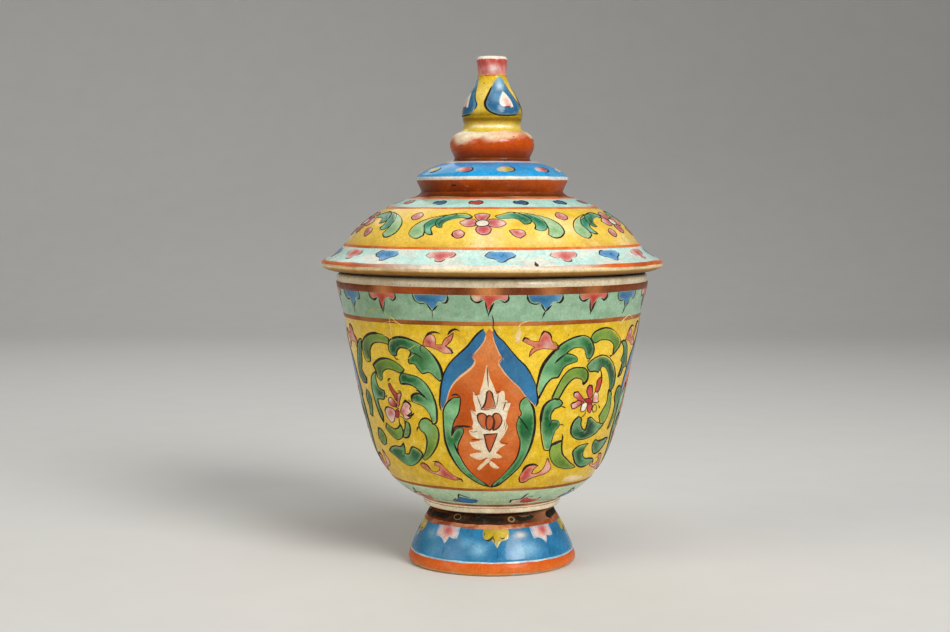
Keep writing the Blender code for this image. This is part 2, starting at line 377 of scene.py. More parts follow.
class Skin:
    """The outer side of a turned node, from a height in millimetres up, on which enamels are laid."""

    def __init__(self, node, body, low=0.0):
        path, closed = meridian(node)
        fine = smooth(path, SKIN_STEP, BODY_CORNER, closed)
        if closed:
            fine = np.vstack([fine, fine[:1]])
        self.node, self.body, self.films = node, body, {}
        bottom, top = fine[:, 1].min() + SKIN_END, fine[:, 1].max() - SKIN_END
        self.z = np.linspace(max(low, bottom), top, SKIN_ROWS)
        ends_low = np.minimum(fine[:-1, 1], fine[1:, 1])
        ends_high = np.maximum(fine[:-1, 1], fine[1:, 1])
        radii = []
        for z in self.z:
            hit = (ends_low <= z) & (z <= ends_high) & (ends_high > ends_low)
            start, end = fine[:-1][hit], fine[1:][hit]
            share = (z - start[:, 1]) / (end[:, 1] - start[:, 1])
            radii.append((start[:, 0] + share * (end[:, 0] - start[:, 0])).max())
        self.r = np.array(radii)
        self.s = np.concatenate([[0], np.cumsum(np.hypot(np.diff(self.z), np.diff(self.r)))])
        slope = np.gradient(self.r, self.z)
        self.out = 1 / np.hypot(1, slope)
        self.up = -slope * self.out

    def flat(self, points):
        """Angle in degrees and height to millimetres on the unrolled skin, at the motif's mean radius."""
        points = np.asarray(points, float)
        radius = float(np.interp(points[:, 1].mean(), self.z, self.r))
        along = np.interp(points[:, 1], self.z, self.s)
        return np.column_stack([np.radians(points[:, 0]) * radius, along]), radius

    def place(self, angle, z, lift):
        """World points, in metres, of angles (radians), heights and lifts in millimetres."""
        along, rise = sway(angle, z)
        angle = angle + along / np.interp(z, self.z, self.r)
        z = z + rise
        lift = lift + unevenness(angle, z)
        r = np.interp(z, self.z, self.r) + lift * np.interp(z, self.z, self.out)
        top = z + lift * np.interp(z, self.z, self.up)
        return around(r, angle, top)

    def film(self, family):
        """The piece that holds this colour family on this skin."""
        if family not in self.films:
            self.films[family] = Film(f"{self.node}_{family}", self.body)
        return self.films[family]


class Film:
    """One piece of enamel: the films of one colour family on one skin, gathered as one mesh."""

    def __init__(self, name, body):
        self.name, self.body = name, body
        self.points, self.faces, self.colours = [], [], []
        self.count = 0

    def add(self, points, faces, colours):
        self.points.append(points)
        self.faces += [[i + self.count for i in face] for face in faces]
        self.colours.append(np.broadcast_to(colours, points.shape))
        self.count += len(points)

    def build(self, slot, material):
        mesh = bpy.data.meshes.new(self.name)
        mesh.from_pydata(np.vstack(self.points).tolist(), [], self.faces)
        tint = mesh.color_attributes.new("tint", "FLOAT_COLOR", "POINT")
        colours = np.vstack(self.colours)
        tint.data.foreach_set("color", np.column_stack([colours, np.ones(len(colours))]).ravel())
        mesh.shade_smooth()
        mesh.materials.append(material)
        piece = bpy.data.objects.new(self.name, mesh)
        bpy.context.scene.collection.objects.link(piece)
        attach(piece, self.body)


def around(radius, angle, height):
    """Points in metres round the axis, at angles that start from the front."""
    heights = np.broadcast_to(height, angle.shape)
    return np.column_stack([radius * np.sin(angle), -radius * np.cos(angle), heights]) * MM


def inside(points, loop):
    """Which points lie in a closed loop."""
    x, y = points[:, 0, None], points[:, 1, None]
    ax, ay = loop.T
    bx, by = np.roll(loop, -1, 0).T
    rise = np.where(by == ay, NO_SQUARE, by - ay)
    crosses = ((ay > y) != (by > y)) & (x < (bx - ax) * (y - ay) / rise + ax)
    return crosses.sum(1) % 2 == 1


def nearest(points, loop):
    """Distance of each point from a closed loop's sides."""
    ends = np.roll(loop, -1, 0)
    way = ends - loop
    share = ((points[:, None] - loop) * way).sum(2) / np.maximum((way**2).sum(1), NO_SQUARE)
    foot = loop + np.clip(share, 0, 1)[:, :, None] * way
    return np.sqrt(((points[:, None] - foot) ** 2).sum(2).min(1))


def mixed(colours, other, share):
    """Colours moved towards another by a share each."""
    return colours + (np.asarray(other) - colours) * np.clip(share, 0, 1)[:, None]


def fill(skin, family, outline, colour, touches, layer, turns=(0,), rim=None):
    """A film inside a closed outline of (angle, height) points, with soft touches of other colours.

    A touch is (angle, height, reach in millimetres, colour, strength). rim tints the film's edge.
    """
    flat, radius = skin.flat(outline)
    loop = smooth(flat, EDGE_STEP, PATH_CORNER, True)
    if (np.roll(loop, -1, 0)[:, 1] * loop[:, 0] - np.roll(loop, -1, 0)[:, 0] * loop[:, 1]).sum() < 0:
        loop = loop[::-1]
    low, high = loop.min(0), loop.max(0)
    way = np.roll(loop, -1, 0) - np.roll(loop, 1, 0)
    inward = np.column_stack([-way[:, 1], way[:, 0]]) / np.maximum(np.hypot(*way.T), NO_LENGTH)[:, None]
    shelf = loop + inward * FILM_ROLL
    shelf = shelf[inside(shelf, loop)]
    shelf = shelf[nearest(shelf, loop) > SHELF_GAP] if len(shelf) else shelf
    across, up = np.meshgrid(np.arange(low[0], high[0], FILL_STEP),
                             np.arange(low[1], high[1], FILL_STEP * ROW_SHARE))
    across[1::2] += FILL_STEP / 2
    core = np.column_stack([across.ravel(), up.ravel()])
    core = core[inside(core, loop)] if len(core) else core
    core = core[nearest(core, loop) > CORE_GAP] if len(core) else core
    corners = [Vector(p) for p in np.vstack([loop, shelf, core])]
    made = delaunay_2d_cdt(corners, [], [list(range(len(loop)))], 1, WELD)
    points = np.array([tuple(p) for p in made[0]])
    faces = [list(face) for face in made[2]]
    depth = nearest(points, loop)
    roll = np.clip(depth / FILM_ROLL, 0, 1)
    lift = layer * LAYER - SINK + (FILM + SINK) * roll * (2 - roll)
    colours = np.tile(np.asarray(colour, float), (len(points), 1))
    for angle, height, reach, other, strength in touches:
        spot = np.array([math.radians(angle) * radius, np.interp(height, skin.z, skin.s)])
        far = ((points - spot) ** 2).sum(1)
        colours = mixed(colours, other, strength * np.exp(-far / reach**2))
    if rim is not None:
        colours = mixed(colours, rim, RIM_SHARE * (1 - depth / RIM_REACH))
    angle = points[:, 0] / radius
    height = np.interp(points[:, 1], skin.s, skin.z)
    for turn in turns:
        skin.film(family).add(skin.place(angle + math.radians(turn), height, lift), faces, colours)


def pressure(count):
    """A hand's changing pressure along a stroke, about 1."""
    along = np.arange(count)
    total = np.ones(count)
    for share in PRESS_SHARES:
        pace = random.uniform(*PRESS_PACES)
        total += share * np.sin(along * PRESS_WAVE * pace + random.uniform(0, math.tau))
    return np.maximum(total, PRESS_LEAST)


def stroke(skin, path, width, closed=False, colour=INK, layer=1, turns=(0,), family="outline"):
    """A line along (angle, height) points, of a width in millimetres, as a slanted brush leaves it."""
    flat, radius = skin.flat(path)
    line = smooth(flat, LINE_STEP, PATH_CORNER, closed)
    count = len(line)
    way = np.roll(line, -1, 0) - np.roll(line, 1, 0) if closed else np.gradient(line, axis=0)
    way /= np.maximum(np.hypot(*way.T), NO_LENGTH)[:, None]
    side = np.column_stack([-way[:, 1], way[:, 0]])
    slant = np.abs(way @ BRUSH_SLANT)
    half = width / 2 * pressure(count) * (BRUSH_THIN + (BRUSH_FULL - BRUSH_THIN) * slant)
    if not closed:
        ends = np.minimum(np.arange(count), np.arange(count)[::-1])
        half *= np.clip(TIP_SHARE + ends / TIP_STEPS, 0, 1)
    top = layer * LAYER + LINE_HEIGHT
    rows = [(-1, -SINK), (-LINE_TOP, top), (LINE_TOP, top), (1, -SINK)]
    points = np.vstack([line + side * (k * half)[:, None] for k, _ in rows])
    lift = np.concatenate([np.full(count, h) for _, h in rows])
    faces = []
    for i in range(count if closed else count - 1):
        j = (i + 1) % count
        for row in range(0, 3 * count, count):
            faces.append([i + row, i + row + count, j + row + count, j + row][::-1])
    angle = points[:, 0] / radius
    height = np.interp(points[:, 1], skin.s, skin.z)
    for turn in turns:
        skin.film(family).add(skin.place(angle + math.radians(turn), height, lift), faces, colour)


def loosened(skin, outline, slip):
    """An outline as a quick hand follows it: a little too large, and slipped by up to this much."""
    centre = np.mean(outline, 0)
    radius = float(np.interp(centre[1], skin.z, skin.r))
    moved = centre + (np.asarray(outline) - centre) * LOOSE
    moved += slip * np.array([math.degrees(random.uniform(-1, 1) / radius), random.uniform(-1, 1)])
    return [tuple(point) for point in moved]


def ripple(angle, lowest, highest, height=0.0, lean=0.0):
    """A smooth closed random wave round a turn, leaning by up to this much a millimetre of height."""
    total = 0
    for _ in range(RIPPLES):
        shift = random.uniform(0, math.tau) + height * random.uniform(-lean, lean)
        total = total + np.sin(random.randint(lowest, highest) * angle + shift)
    return total * 2 / RIPPLES


def ripples(table, angle, height, level=0.0):
    """A level with a table's random waves on it."""
    parts = (part * ripple(angle, fewest, most, height, lean) for part, fewest, most, lean in table)
    return sum(parts, level)


def wrapped(rows, facets):
    """Faces between rings of points that close round a turn."""
    faces = []
    for start in range(0, (rows - 1) * facets, facets):
        for i in range(facets):
            j = (i + 1) % facets
            faces.append([start + i, start + j, start + facets + j, start + facets + i])
    return faces


def fillet(skin, family, start, corner, end, low_colour, high_colour, painted_highlight=0.0):
    """Slip run into a joint: a ring whose section curves from one (radius, height) to another.

    Its last argument is how far a painted highlight, a pale streak, shows on its front.
    """
    angle = RING_ANGLES
    drift = FILLET_DRIFT * ripple(angle, *SLIP_WAVES)
    points, colours = [], []
    for t in np.linspace(0, 1, FILLET_ROWS):
        tone = mixed(np.tile(low_colour, (RING_FACETS, 1)), high_colour, t * t + drift)
        # The pale streak on the slip's front is a painted highlight.
        pooled = np.exp(-(((t - HIGHLIGHT_AT) / HIGHLIGHT_REACH) ** 2) - ((1 - np.cos(angle)) / HIGHLIGHT_TURN) ** 2)
        colours.append(mixed(tone, HIGHLIGHT_TINT, painted_highlight * pooled))
        shares = (1 - t) ** 2, 2 * t * (1 - t), t * t
        r, z = (sum(share * spot[k] for share, spot in zip(shares, (start, corner, end))) for k in (0, 1))
        points.append(around(r + unevenness(angle, z), angle, z))
    skin.film(family).add(np.vstack(points), wrapped(FILLET_ROWS, RING_FACETS), np.vstack(colours))


def ring(skin, family, low, high, colour, blotch, layer=0, wander=0.05, top_colour=None, share=0.5,
         marks=(), ragged=0.0):
    """A painted band round the whole skin between two heights, blotched with a second colour.

    A mark is (angle, half-width in degrees, colour, strength): a stretch of the band in another tone.
    With a height and a half-height in millimetres added, it is a patch. A ragged band is worn through
    to its top colour.
    """
    angle = RING_ANGLES
    bottom = low + wander * ripple(angle, *EDGE_WAVES)
    upper = high + wander * ripple(angle, *EDGE_WAVES)
    deep = float(np.min(upper - bottom))
    inset = min(FILM_ROLL / deep, RING_INSET)
    rows = np.concatenate([[0], np.linspace(inset, 1 - inset, max(2, math.ceil(deep / RING_STEP))), [1]])
    height = bottom + (upper - bottom) * rows[:, None]
    turn = np.broadcast_to(angle, height.shape)
    blots = ripples(BLOTS, turn, height, BLOT_LEVEL)
    streaks = ripples(STREAKS, turn, height)
    points, colours = [], []
    for k, row in enumerate(rows):
        lift = layer * LAYER - SINK + (FILM + SINK) * (0 < row < 1)
        points.append(skin.place(angle, height[k], np.full(RING_FACETS, lift)))
        tone = np.tile(np.asarray(colour, float), (RING_FACETS, 1))
        worn = np.full(RING_FACETS, row)
        if ragged:
            worn = np.clip((row + ragged * streaks[k] - WORN_FROM) / WORN_OVER, 0, 1)
        if top_colour is not None:
            tone = mixed(tone, top_colour, worn)
        tone = mixed(tone, blotch, share * np.clip(blots[k], 0, 1) * (worn if ragged else 1))
        for at, reach, other, strength, *patch in marks:
            away = np.degrees(np.remainder(angle - math.radians(at) + math.pi, math.tau) - math.pi)
            far = (away / reach) ** 2
            if patch:
                far = far + ((height[k] - patch[0]) / patch[1]) ** 2
            tone = mixed(tone, other, strength * np.exp(-far) * (worn if ragged else 1))
        colours.append(tone)
    skin.film(family).add(np.vstack(points), wrapped(len(rows), RING_FACETS), np.vstack(colours))


# Materials

# Clouds of noise in the glazes: scale, detail, roughness, and the span of noise that counts
TONES = (420.0, 6.0, 0.7, 0.3, 0.7)
GRAINS = (1700.0, 2.0, 0.55, 0.3, 0.7)
STAINS = (75.0, 6.0, 0.65, 0.52, 0.76)
SPECKS = (1500.0, 1.0, 0.55, 0.73, 0.79)
GLOSSES = (240.0, 5.0, 0.55, 0.3, 0.7)
THIN_SPOTS = (520.0, 6.0, 0.7, 0.5, 0.75)
POOLS = (260.0, 5.0, 0.6, 0.48, 0.75)
STRAYS = (130.0, 3.0, 0.55, 0.25, 0.75)
DRIFTS = (55.0, 4.0, 0.55, 0.35, 0.7)
PATCHES = (3.0, 0.6, 0.48, 0.72)

# How far the clouds change a glaze, and its gloss and orange-peel swell
SHADE = (0.86, 1.12)
SPECK_SHARE = 0.75
THIN_SHARE, THIN_PALE = 0.2, 0.3
POOL_SHARE, POOL_DEEP = 0.35, (0.6, 0.6, 0.6)
SMOOTHER, ROUGHER = 0.06, 0.1
SWELL_SCALE, SWELL_DETAIL, SWELL_DEPTH = 330.0, 2.0, 0.00016
GLAZE_IOR, GLAZE_SHINE, COAT_ROUGH = 1.5, 0.12, 0.05


def node(tree, kind, inputs=None, **settings):
    """A shader node with its settings, and its inputs set to values or linked to sockets."""
    made = tree.nodes.new("ShaderNode" + kind)
    for name, value in settings.items():
        setattr(made, name, value)
    for name, value in (inputs or {}).items():
        if isinstance(value, bpy.types.NodeSocket):
            tree.links.new(value, made.inputs[name])
        else:
            made.inputs[name].default_value = value
    return made


def noise(tree, where, scale, detail=3.0, rough=0.55):
    inputs = {"Vector": where, "Scale": scale, "Detail": detail, "Roughness": rough}
    return node(tree, "TexNoise", inputs).outputs[0]


def stretch(tree, value, low, high, to_low=0.0, to_high=1.0):
    ends = {"Value": value, 1: low, 2: high, 3: to_low, 4: to_high}
    return node(tree, "MapRange", ends).outputs[0]


def clouded(tree, where, cloud, to_low=0.0, to_high=1.0):
    """A value that drifts between two ends as a cloud of noise does."""
    scale, detail, rough, low, high = cloud
    return stretch(tree, noise(tree, where, scale, detail, rough), low, high, to_low, to_high)


def blend(tree, share, first, second, mode="MIX"):
    made = node(tree, "Mix", {0: share, 6: first, 7: second}, data_type="RGBA", blend_type=mode)
    return made.outputs[2]


def opaque(colour):
    return (*colour, 1.0)


def glazed(name, base, rough, dirt=0.25, wave=0.2, coat=0.3):
    """A fired glaze: base(tree, where) gives its colour; specks, stains and an uneven gloss are added."""
    material = bpy.data.materials.new(name)
    material.use_nodes = True
    tree = material.node_tree
    shader = tree.nodes["Principled BSDF"]
    where = node(tree, "TexCoord").outputs["Object"]
    colour = base(tree, where)
    for cloud in (TONES, GRAINS):
        shade = clouded(tree, where, cloud, *SHADE)
        grey = node(tree, "CombineColor", {0: shade, 1: shade, 2: shade}).outputs[0]
        colour = blend(tree, 1.0, colour, grey, "MULTIPLY")
    stain = clouded(tree, where, STAINS, 0.0, dirt)
    colour = blend(tree, stain, colour, opaque(STAIN), "MULTIPLY")
    speck = clouded(tree, where, SPECKS, 0.0, SPECK_SHARE)
    colour = blend(tree, speck, colour, opaque(SPECK))
    tree.links.new(colour, shader.inputs["Base Color"])
    gloss = clouded(tree, where, GLOSSES, rough - SMOOTHER, rough + ROUGHER)
    tree.links.new(gloss, shader.inputs["Roughness"])
    swell = noise(tree, where, SWELL_SCALE, SWELL_DETAIL)
    peel = node(tree, "Bump", {"Height": swell, "Strength": wave, "Distance": SWELL_DEPTH})
    tree.links.new(peel.outputs[0], shader.inputs["Normal"])
    shader.inputs["IOR"].default_value = GLAZE_IOR
    shader.inputs["Specular IOR Level"].default_value = GLAZE_SHINE
    shader.inputs["Coat Weight"].default_value = coat
    shader.inputs["Coat Roughness"].default_value = COAT_ROUGH
    return material


def tinted(tree, where):
    """Enamel films: the painted tint, thinned and pooled as a loaded brush leaves it."""
    tint = node(tree, "Attribute", attribute_name="tint").outputs["Color"]
    thin = clouded(tree, where, THIN_SPOTS, 0.0, THIN_SHARE)
    pale = blend(tree, THIN_PALE, tint, opaque(WHITE))
    pool = clouded(tree, where, POOLS, 0.0, POOL_SHARE)
    deep = blend(tree, 1.0, tint, opaque(POOL_DEEP), "MULTIPLY")
    return blend(tree, pool, blend(tree, thin, tint, pale), deep)


def banded(stops, wander):
    """A ground painted in bands: (height in millimetres, colour) stops, with wandering edges."""

    def base(tree, where):
        low, high = stops[0][0], stops[-1][0]
        height = node(tree, "SeparateXYZ", {0: where}).outputs[2]
        stray = clouded(tree, where, STRAYS, -wander * MM, wander * MM)
        height = node(tree, "Math", {0: height, 1: stray}, operation="ADD").outputs[0]
        share = stretch(tree, height, low * MM, high * MM)
        ramp = node(tree, "ValToRGB", {0: share})
        bands = ramp.color_ramp.elements
        bands[0].color, bands[1].color = opaque(stops[0][1]), opaque(stops[-1][1])
        for z, colour in stops[1:-1]:
            bands.new((z - low) / (high - low)).color = opaque(colour)
        return ramp.outputs[0]

    return base


def mottled(ground, pale, scale, strength):
    """A ground whose colour drifts paler in loose patches."""

    def base(tree, where):
        share = clouded(tree, where, (scale, *PATCHES), 0.0, strength)
        return blend(tree, share, ground(tree, where), opaque(pale))

    return base


def plain(colour, other):
    """A ground of one colour drifting into another."""

    def base(tree, where):
        return blend(tree, clouded(tree, where, DRIFTS), opaque(colour), opaque(other))

    return base


def turned(name, node_name, body, materials, zones):
    """A fine turned body that stands for a CAD node; zones picks a material for each profile point."""
    path, closed = meridian(node_name)
    fine = smooth(path, BODY_STEP, BODY_CORNER, closed)
    fine[:, 1] = np.clip(fine[:, 1], path[:, 1].min(), path[:, 1].max())
    zone = zones(fine)
    made = bmesh.new()
    angles = np.arange(BODY_FACETS) * math.tau / BODY_FACETS
    rings = []
    for r, z in fine:
        if r < OFF_AXIS:
            rings.append([made.verts.new((0, 0, z * MM))])
            continue
        spots = around(r + unevenness(angles, z), angles, z)
        rings.append([made.verts.new(spot) for spot in spots])
    count = len(rings)
    for k in range(count if closed else count - 1):
        first, second = rings[k], rings[(k + 1) % count]
        for i in range(BODY_FACETS):
            j = (i + 1) % BODY_FACETS
            corners = [first[i % len(first)], first[j % len(first)]]
            corners += [second[j % len(second)], second[i % len(second)]]
            face = made.faces.new(list(dict.fromkeys(corners)))
            face.material_index = int(max(zone[k], zone[(k + 1) % count]))
            face.smooth = True
    bmesh.ops.recalc_face_normals(made, faces=made.faces)
    mesh = bpy.data.meshes.new(name)
    made.to_mesh(mesh)
    made.free()
    for material in materials:
        mesh.materials.append(material)
    piece = bpy.data.objects.new(name, mesh)
    bpy.context.scene.collection.objects.link(piece)
    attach(piece, body)
    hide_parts(node_name)
    return piece


# The six skins

LID_LIP = 98.4

bowl = Skin("bowl", "cup")
foot = Skin("foot", "cup")
dome = Skin("lid_dome", "lid", LID_LIP)
tier = Skin("lid_tier", "lid")
cushion = Skin("finial_cushion", "lid")
bud = Skin("finial_bud", "lid")

QUARTERS = (0, 90, 180, 270)
HALVES = (0, 180)


# Motifs of the bowl


def oval(wide, low, high, count=10):
    """An oval about angle 0, this wide each way, between two heights."""
    turn = np.arange(count) * math.tau / count
    return [(wide * math.sin(t), (low + high) / 2 + (high - low) / 2 * math.cos(t)) for t in turn]


def shifted(shape, turn):
    """A motif's (angle, height) points, turned by this many degrees."""
    return [(turn + angle, height) for angle, height in shape]


def paint_bowl_bands():
    """Celadon borders between rust lines."""
    ring(bowl, "celadon", 82.4, 91.8, BORDER_CELADON, DEEP_CELADON, share=0.45,
         marks=[(-54, 15, OLIVE, 0.22), (-38, 6, OLIVE, 0.25, 86, 2)])
    ring(bowl, "celadon", 22.4, 28.8, LOW_CELADON, MILKY_CELADON, share=0.4)
    smears = [
        (-42, 4, PEACH, 0.7), (-29, 8, ORANGE, 0.5), (-2, 5, PEACH, 0.8), (-12, 4, BROWN, 0.5),
        (6, 4, BROWN, 0.5), (20, 4, PEACH, 0.5), (37, 4, PEACH, 0.4), (150, 9, PEACH, 0.6),
        (230, 20, BROWN, 0.5),
    ]
    ring(bowl, "iron_red", 90.75, 93.15, RIM_BROWN, BROWN, layer=1, share=0.3, marks=smears)
    worn = [(6, 12, PEACH, 0.6), (-28, 8, BROWN, 0.3), (120, 14, PEACH, 0.5), (235, 12, PEACH, 0.5)]
    ring(bowl, "iron_red", 81.5, 83.0, LINE_BROWN, WORN_TAN, layer=1, share=0.35, marks=worn)
    ring(bowl, "iron_red", 28.4, 29.4, LOW_LINE, BROWN, layer=1, share=0.35, marks=[(8, 16, PEACH, 0.5)])
    ring(bowl, "iron_red", 21.7, 22.6, RUST, PEACH, layer=1, share=0.4)
    ring(bowl, "iron_red", 20.9, 21.2, BISCUIT, RUST, share=0.6)


def paint_hanging():
    """Red and blue half-flowers that hang from the upper border."""
    hanging = [(-62, 1), (-43, 0), (-22, 1), (-1.5, 0), (18.5, 1), (37.5, 0), (57, 1)]
    hanging += [(57 + 20.1 * k, (k + 1) % 2) for k in range(1, 12)]
    red_shape = [
        (-6.1, 91.0), (-5.9, 89.8), (-4.6, 89.0), (-2.4, 89.6), (-1.5, 88.8), (-1.0, 87.4), (-0.2, 85.8),
        (0.6, 87.4), (1.5, 88.8), (3.6, 89.6), (5.2, 89.0), (6.3, 89.8), (6.3, 91.0),
    ]
    red_ink = [
        ([(-6.3, 91.0), (-6.1, 89.7), (-4.5, 88.7), (-2.2, 89.4)], 0.7),
        ([(6.5, 91.0), (6.6, 89.6), (5.3, 88.7), (3.7, 89.4)], 0.75),
        ([(-1.4, 88.9), (-1.0, 87.2), (-0.4, 85.1)], 0.6),
        ([(1.6, 88.6), (0.7, 87.1), (-0.2, 85.0)], 0.6),
    ]
    blue_shape = [
        (-6.5, 91.0), (-6.3, 89.8), (-5.1, 88.6), (-2.6, 88.5), (-1.4, 87.8), (0, 86.3), (1.7, 87.6),
        (2.6, 88.7), (4.4, 88.7), (5.4, 89.6), (5.7, 91.0),
    ]
    blue_ink = [
        ([(-6.9, 91.0), (-6.7, 89.7), (-5.5, 88.5), (-3.6, 88.1), (-2.3, 88.4)], 0.75),
        ([(5.9, 91.0), (6.1, 89.6), (5.2, 88.5), (3.9, 88.5)], 0.75),
        ([(-1.8, 88.2), (-0.9, 86.9), (0, 85.8)], 0.6), ([(2.2, 87.7), (1.0, 86.7), (0, 85.8)], 0.6),
    ]
    for order, (at, blue) in enumerate(hanging):
        lean = random.uniform(-1.4, 0.4)
        if blue:
            touches = [
                (at, 87.6, 1.4, AZURE, 0.5), (at - 3, 90, 1.6, DEEP_BLUE, 0.4),
                (at + 4.6, 90, 1.3, SKY, 0.5),
            ]
            shape, colour, family, inked, edge = blue_shape, BLUE, "blue", blue_ink, BLUE_EDGE
            stem = [(0, 86), (lean / 2, 84.9), (lean, 83.9)]
        else:
            pale = 0.9 if order % 4 == 3 else 0.2
            touches = [
                (at - 5, 89.9, 2, CREAM, pale), (at + 5, 90, 1.9, PINK, pale),
                (at + 0.2, 88.6, 1.6, CRIMSON, 0.45),
            ]
            shape, colour, family, inked, edge = red_shape, PENDANT_RED, "rose", red_ink, RED_EDGE
            stem = [(-0.3, 85.4), (lean / 3 - 0.3, 84.4)]
        fill(bowl, family, shifted(shape, at), colour, touches, 1, (0,), edge)
        for path, width in inked:
            stroke(bowl, path, width, layer=2, turns=(at,))
        stroke(bowl, stem, 0.5, layer=2, turns=(at,))


def paint_standing():
    """Red and blue half-flowers that stand on the lower border."""
    standing = [(-52, 0), (-18, 1), (22, 0), (58, 1)]
    standing += [(58 + 35.7 * k, (k + 1) % 2) for k in range(1, 7)]
    blue_shape = [
        (-9, 23.7), (-5.1, 25.2), (-1.9, 26.3), (0.2, 25.9), (2.4, 25.7), (5.3, 25.4), (8.7, 24.9),
        (7.3, 23.7), (-1, 23.3),
    ]
    red_shape = [
        (-4, 23.9), (-3.1, 25.3), (-1, 26.1), (1.1, 25.4), (4.2, 25.0), (7.7, 25.1), (9.4, 25.2),
        (8.6, 24), (5.3, 23.3), (-0.8, 23.2),
    ]
    cream_shape = [(-10.1, 23.7), (-9.9, 24.8), (-7.3, 25), (-4, 24.9), (-2.9, 23.6), (-6.3, 23.3)]
    for at, blue in standing:
        if blue:
            touches = [(at + 2, 24.6, 2, AZURE, 0.5), (at - 7, 24.2, 1.5, DEEP_BLUE, 0.4)]
            fill(bowl, "blue", shifted(blue_shape, at), BLUE, touches, 1)
            inked = [
                [(-3.6, 25.6), (-1.8, 27.1), (0.5, 26.4), (4, 25.9)], [(5.4, 25.6), (9.1, 24.8)],
                [(-9, 24), (-5.4, 25.3)],
            ]
        else:
            touches = [(at + 2, 24.2, 1.6, CRIMSON, 0.4), (at + 7, 24.6, 1.4, PINK, 0.5)]
            fill(bowl, "rose", shifted(red_shape, at), ROSE, touches, 1)
            fill(bowl, "white", shifted(cream_shape, at), CREAM, [(at - 5, 24.2, 1.2, PINK, 0.5)], 1)
            inked = [
                [(-10.4, 23.6), (-10.5, 24.9), (-6.9, 25.1), (-4.3, 25.3), (-2.6, 26.6), (-1.2, 27.4)],
                [(-0.1, 26), (3.3, 25.8)], [(7.9, 24.9), (9.6, 25.5)],
            ]
        for path in inked:
            stroke(bowl, path, 0.6, layer=2, turns=(at,))


def paint_medallion():
    """The lotus-bud panel: an orange ground under two blue petals."""
    ground = [
        (-1.6, 80.8), (-5.5, 76.5), (-12, 71), (-17.5, 66), (-19, 60), (-19, 52), (-19.5, 46), (-16, 38),
        (-9, 33), (-1, 30.6), (7, 34), (13, 39), (15.5, 46), (16, 53), (15.5, 60), (12, 66.5), (6, 73),
        (2, 77.5),
    ]
    warm = [
        (-2, 75, 6, PEACH, 0.75), (-12, 67, 4, PEACH, 0.45), (-13, 61, 4, RUST, 0.3),
        (-13, 53, 5, RUST, 0.45), (3, 69, 4, PEACH, 0.5), (9, 62, 3.5, PEACH, 0.65),
        (9, 54, 3.5, PEACH, 0.45), (8, 47, 3, PEACH, 0.5), (-12, 46, 3, PEACH, 0.5),
        (-10, 40, 3.5, PEACH, 0.4), (1, 33.5, 5, RUST, 0.3), (6, 41, 3, PEACH, 0.35),
        (-7, 64, 3, PEACH, 0.3),
    ]
    fill(bowl, "iron_red", ground, ORANGE, warm, 0, QUARTERS)
    blue_left = [
        (-3.6, 80.4), (-6.4, 78.3), (-9.3, 75.3), (-12.9, 72.6), (-16.4, 69.8), (-18.6, 67), (-20, 63.9),
        (-20.9, 60.5), (-21.4, 56.8), (-21, 55.3), (-19.5, 56.8), (-18.4, 59), (-17.3, 61.3),
        (-15.4, 63.6), (-12.5, 65.9), (-9.6, 67.7), (-7.5, 69.4), (-6.8, 70.9), (-8.2, 71.9),
        (-6.8, 73.2), (-5, 74.9), (-3.4, 76.8), (-2.7, 78.7),
    ]
    blue_right = [
        (0, 80.6), (1.4, 78.3), (3.6, 76.6), (6.1, 74.1), (9.3, 71.1), (12.1, 68.9), (14.6, 65.9),
        (16.4, 62.8), (17.3, 59.8), (17.5, 57.5), (16.8, 56.6), (14.3, 58.3), (12.5, 59.8), (10, 62.4),
        (7.1, 64.5), (4.6, 66.6), (2.9, 68.5), (2, 69.8), (2.5, 70.9), (3.6, 71.5), (2.5, 72.4),
        (1.3, 74.5), (0.2, 76.8), (-0.4, 79),
    ]
    sky = [
        (-18, 62, 4, AZURE, 0.45), (-8, 72.5, 3, DEEP_BLUE, 0.4), (15, 61, 4, AZURE, 0.4),
        (4, 73, 3, DEEP_BLUE, 0.35),
    ]
    for petal, tip in ((blue_left, 9), (blue_right, 10)):
        fill(bowl, "blue", petal, BLUE, sky, 1, QUARTERS)
        stroke(bowl, petal[tip:], 0.55, False, HALO, 1.5, QUARTERS, "white")
        stroke(bowl, loosened(bowl, petal, 0.25)[: tip + 1], 0.48, layer=2, turns=QUARTERS)
    stroke(bowl, [(-0.6, 84.9), (-0.2, 83.7), (-0.2, 80.9)], 0.42, layer=3, turns=QUARTERS)
    for path in (
        [(-6.8, 70.9), (-8.2, 71.9), (-6.8, 73.2)], [(2, 69.8), (2.5, 70.9), (3.6, 71.5), (2.5, 72.4)],
    ):
        stroke(bowl, path, 0.42, False, DEEP_BLUE, 2, QUARTERS)


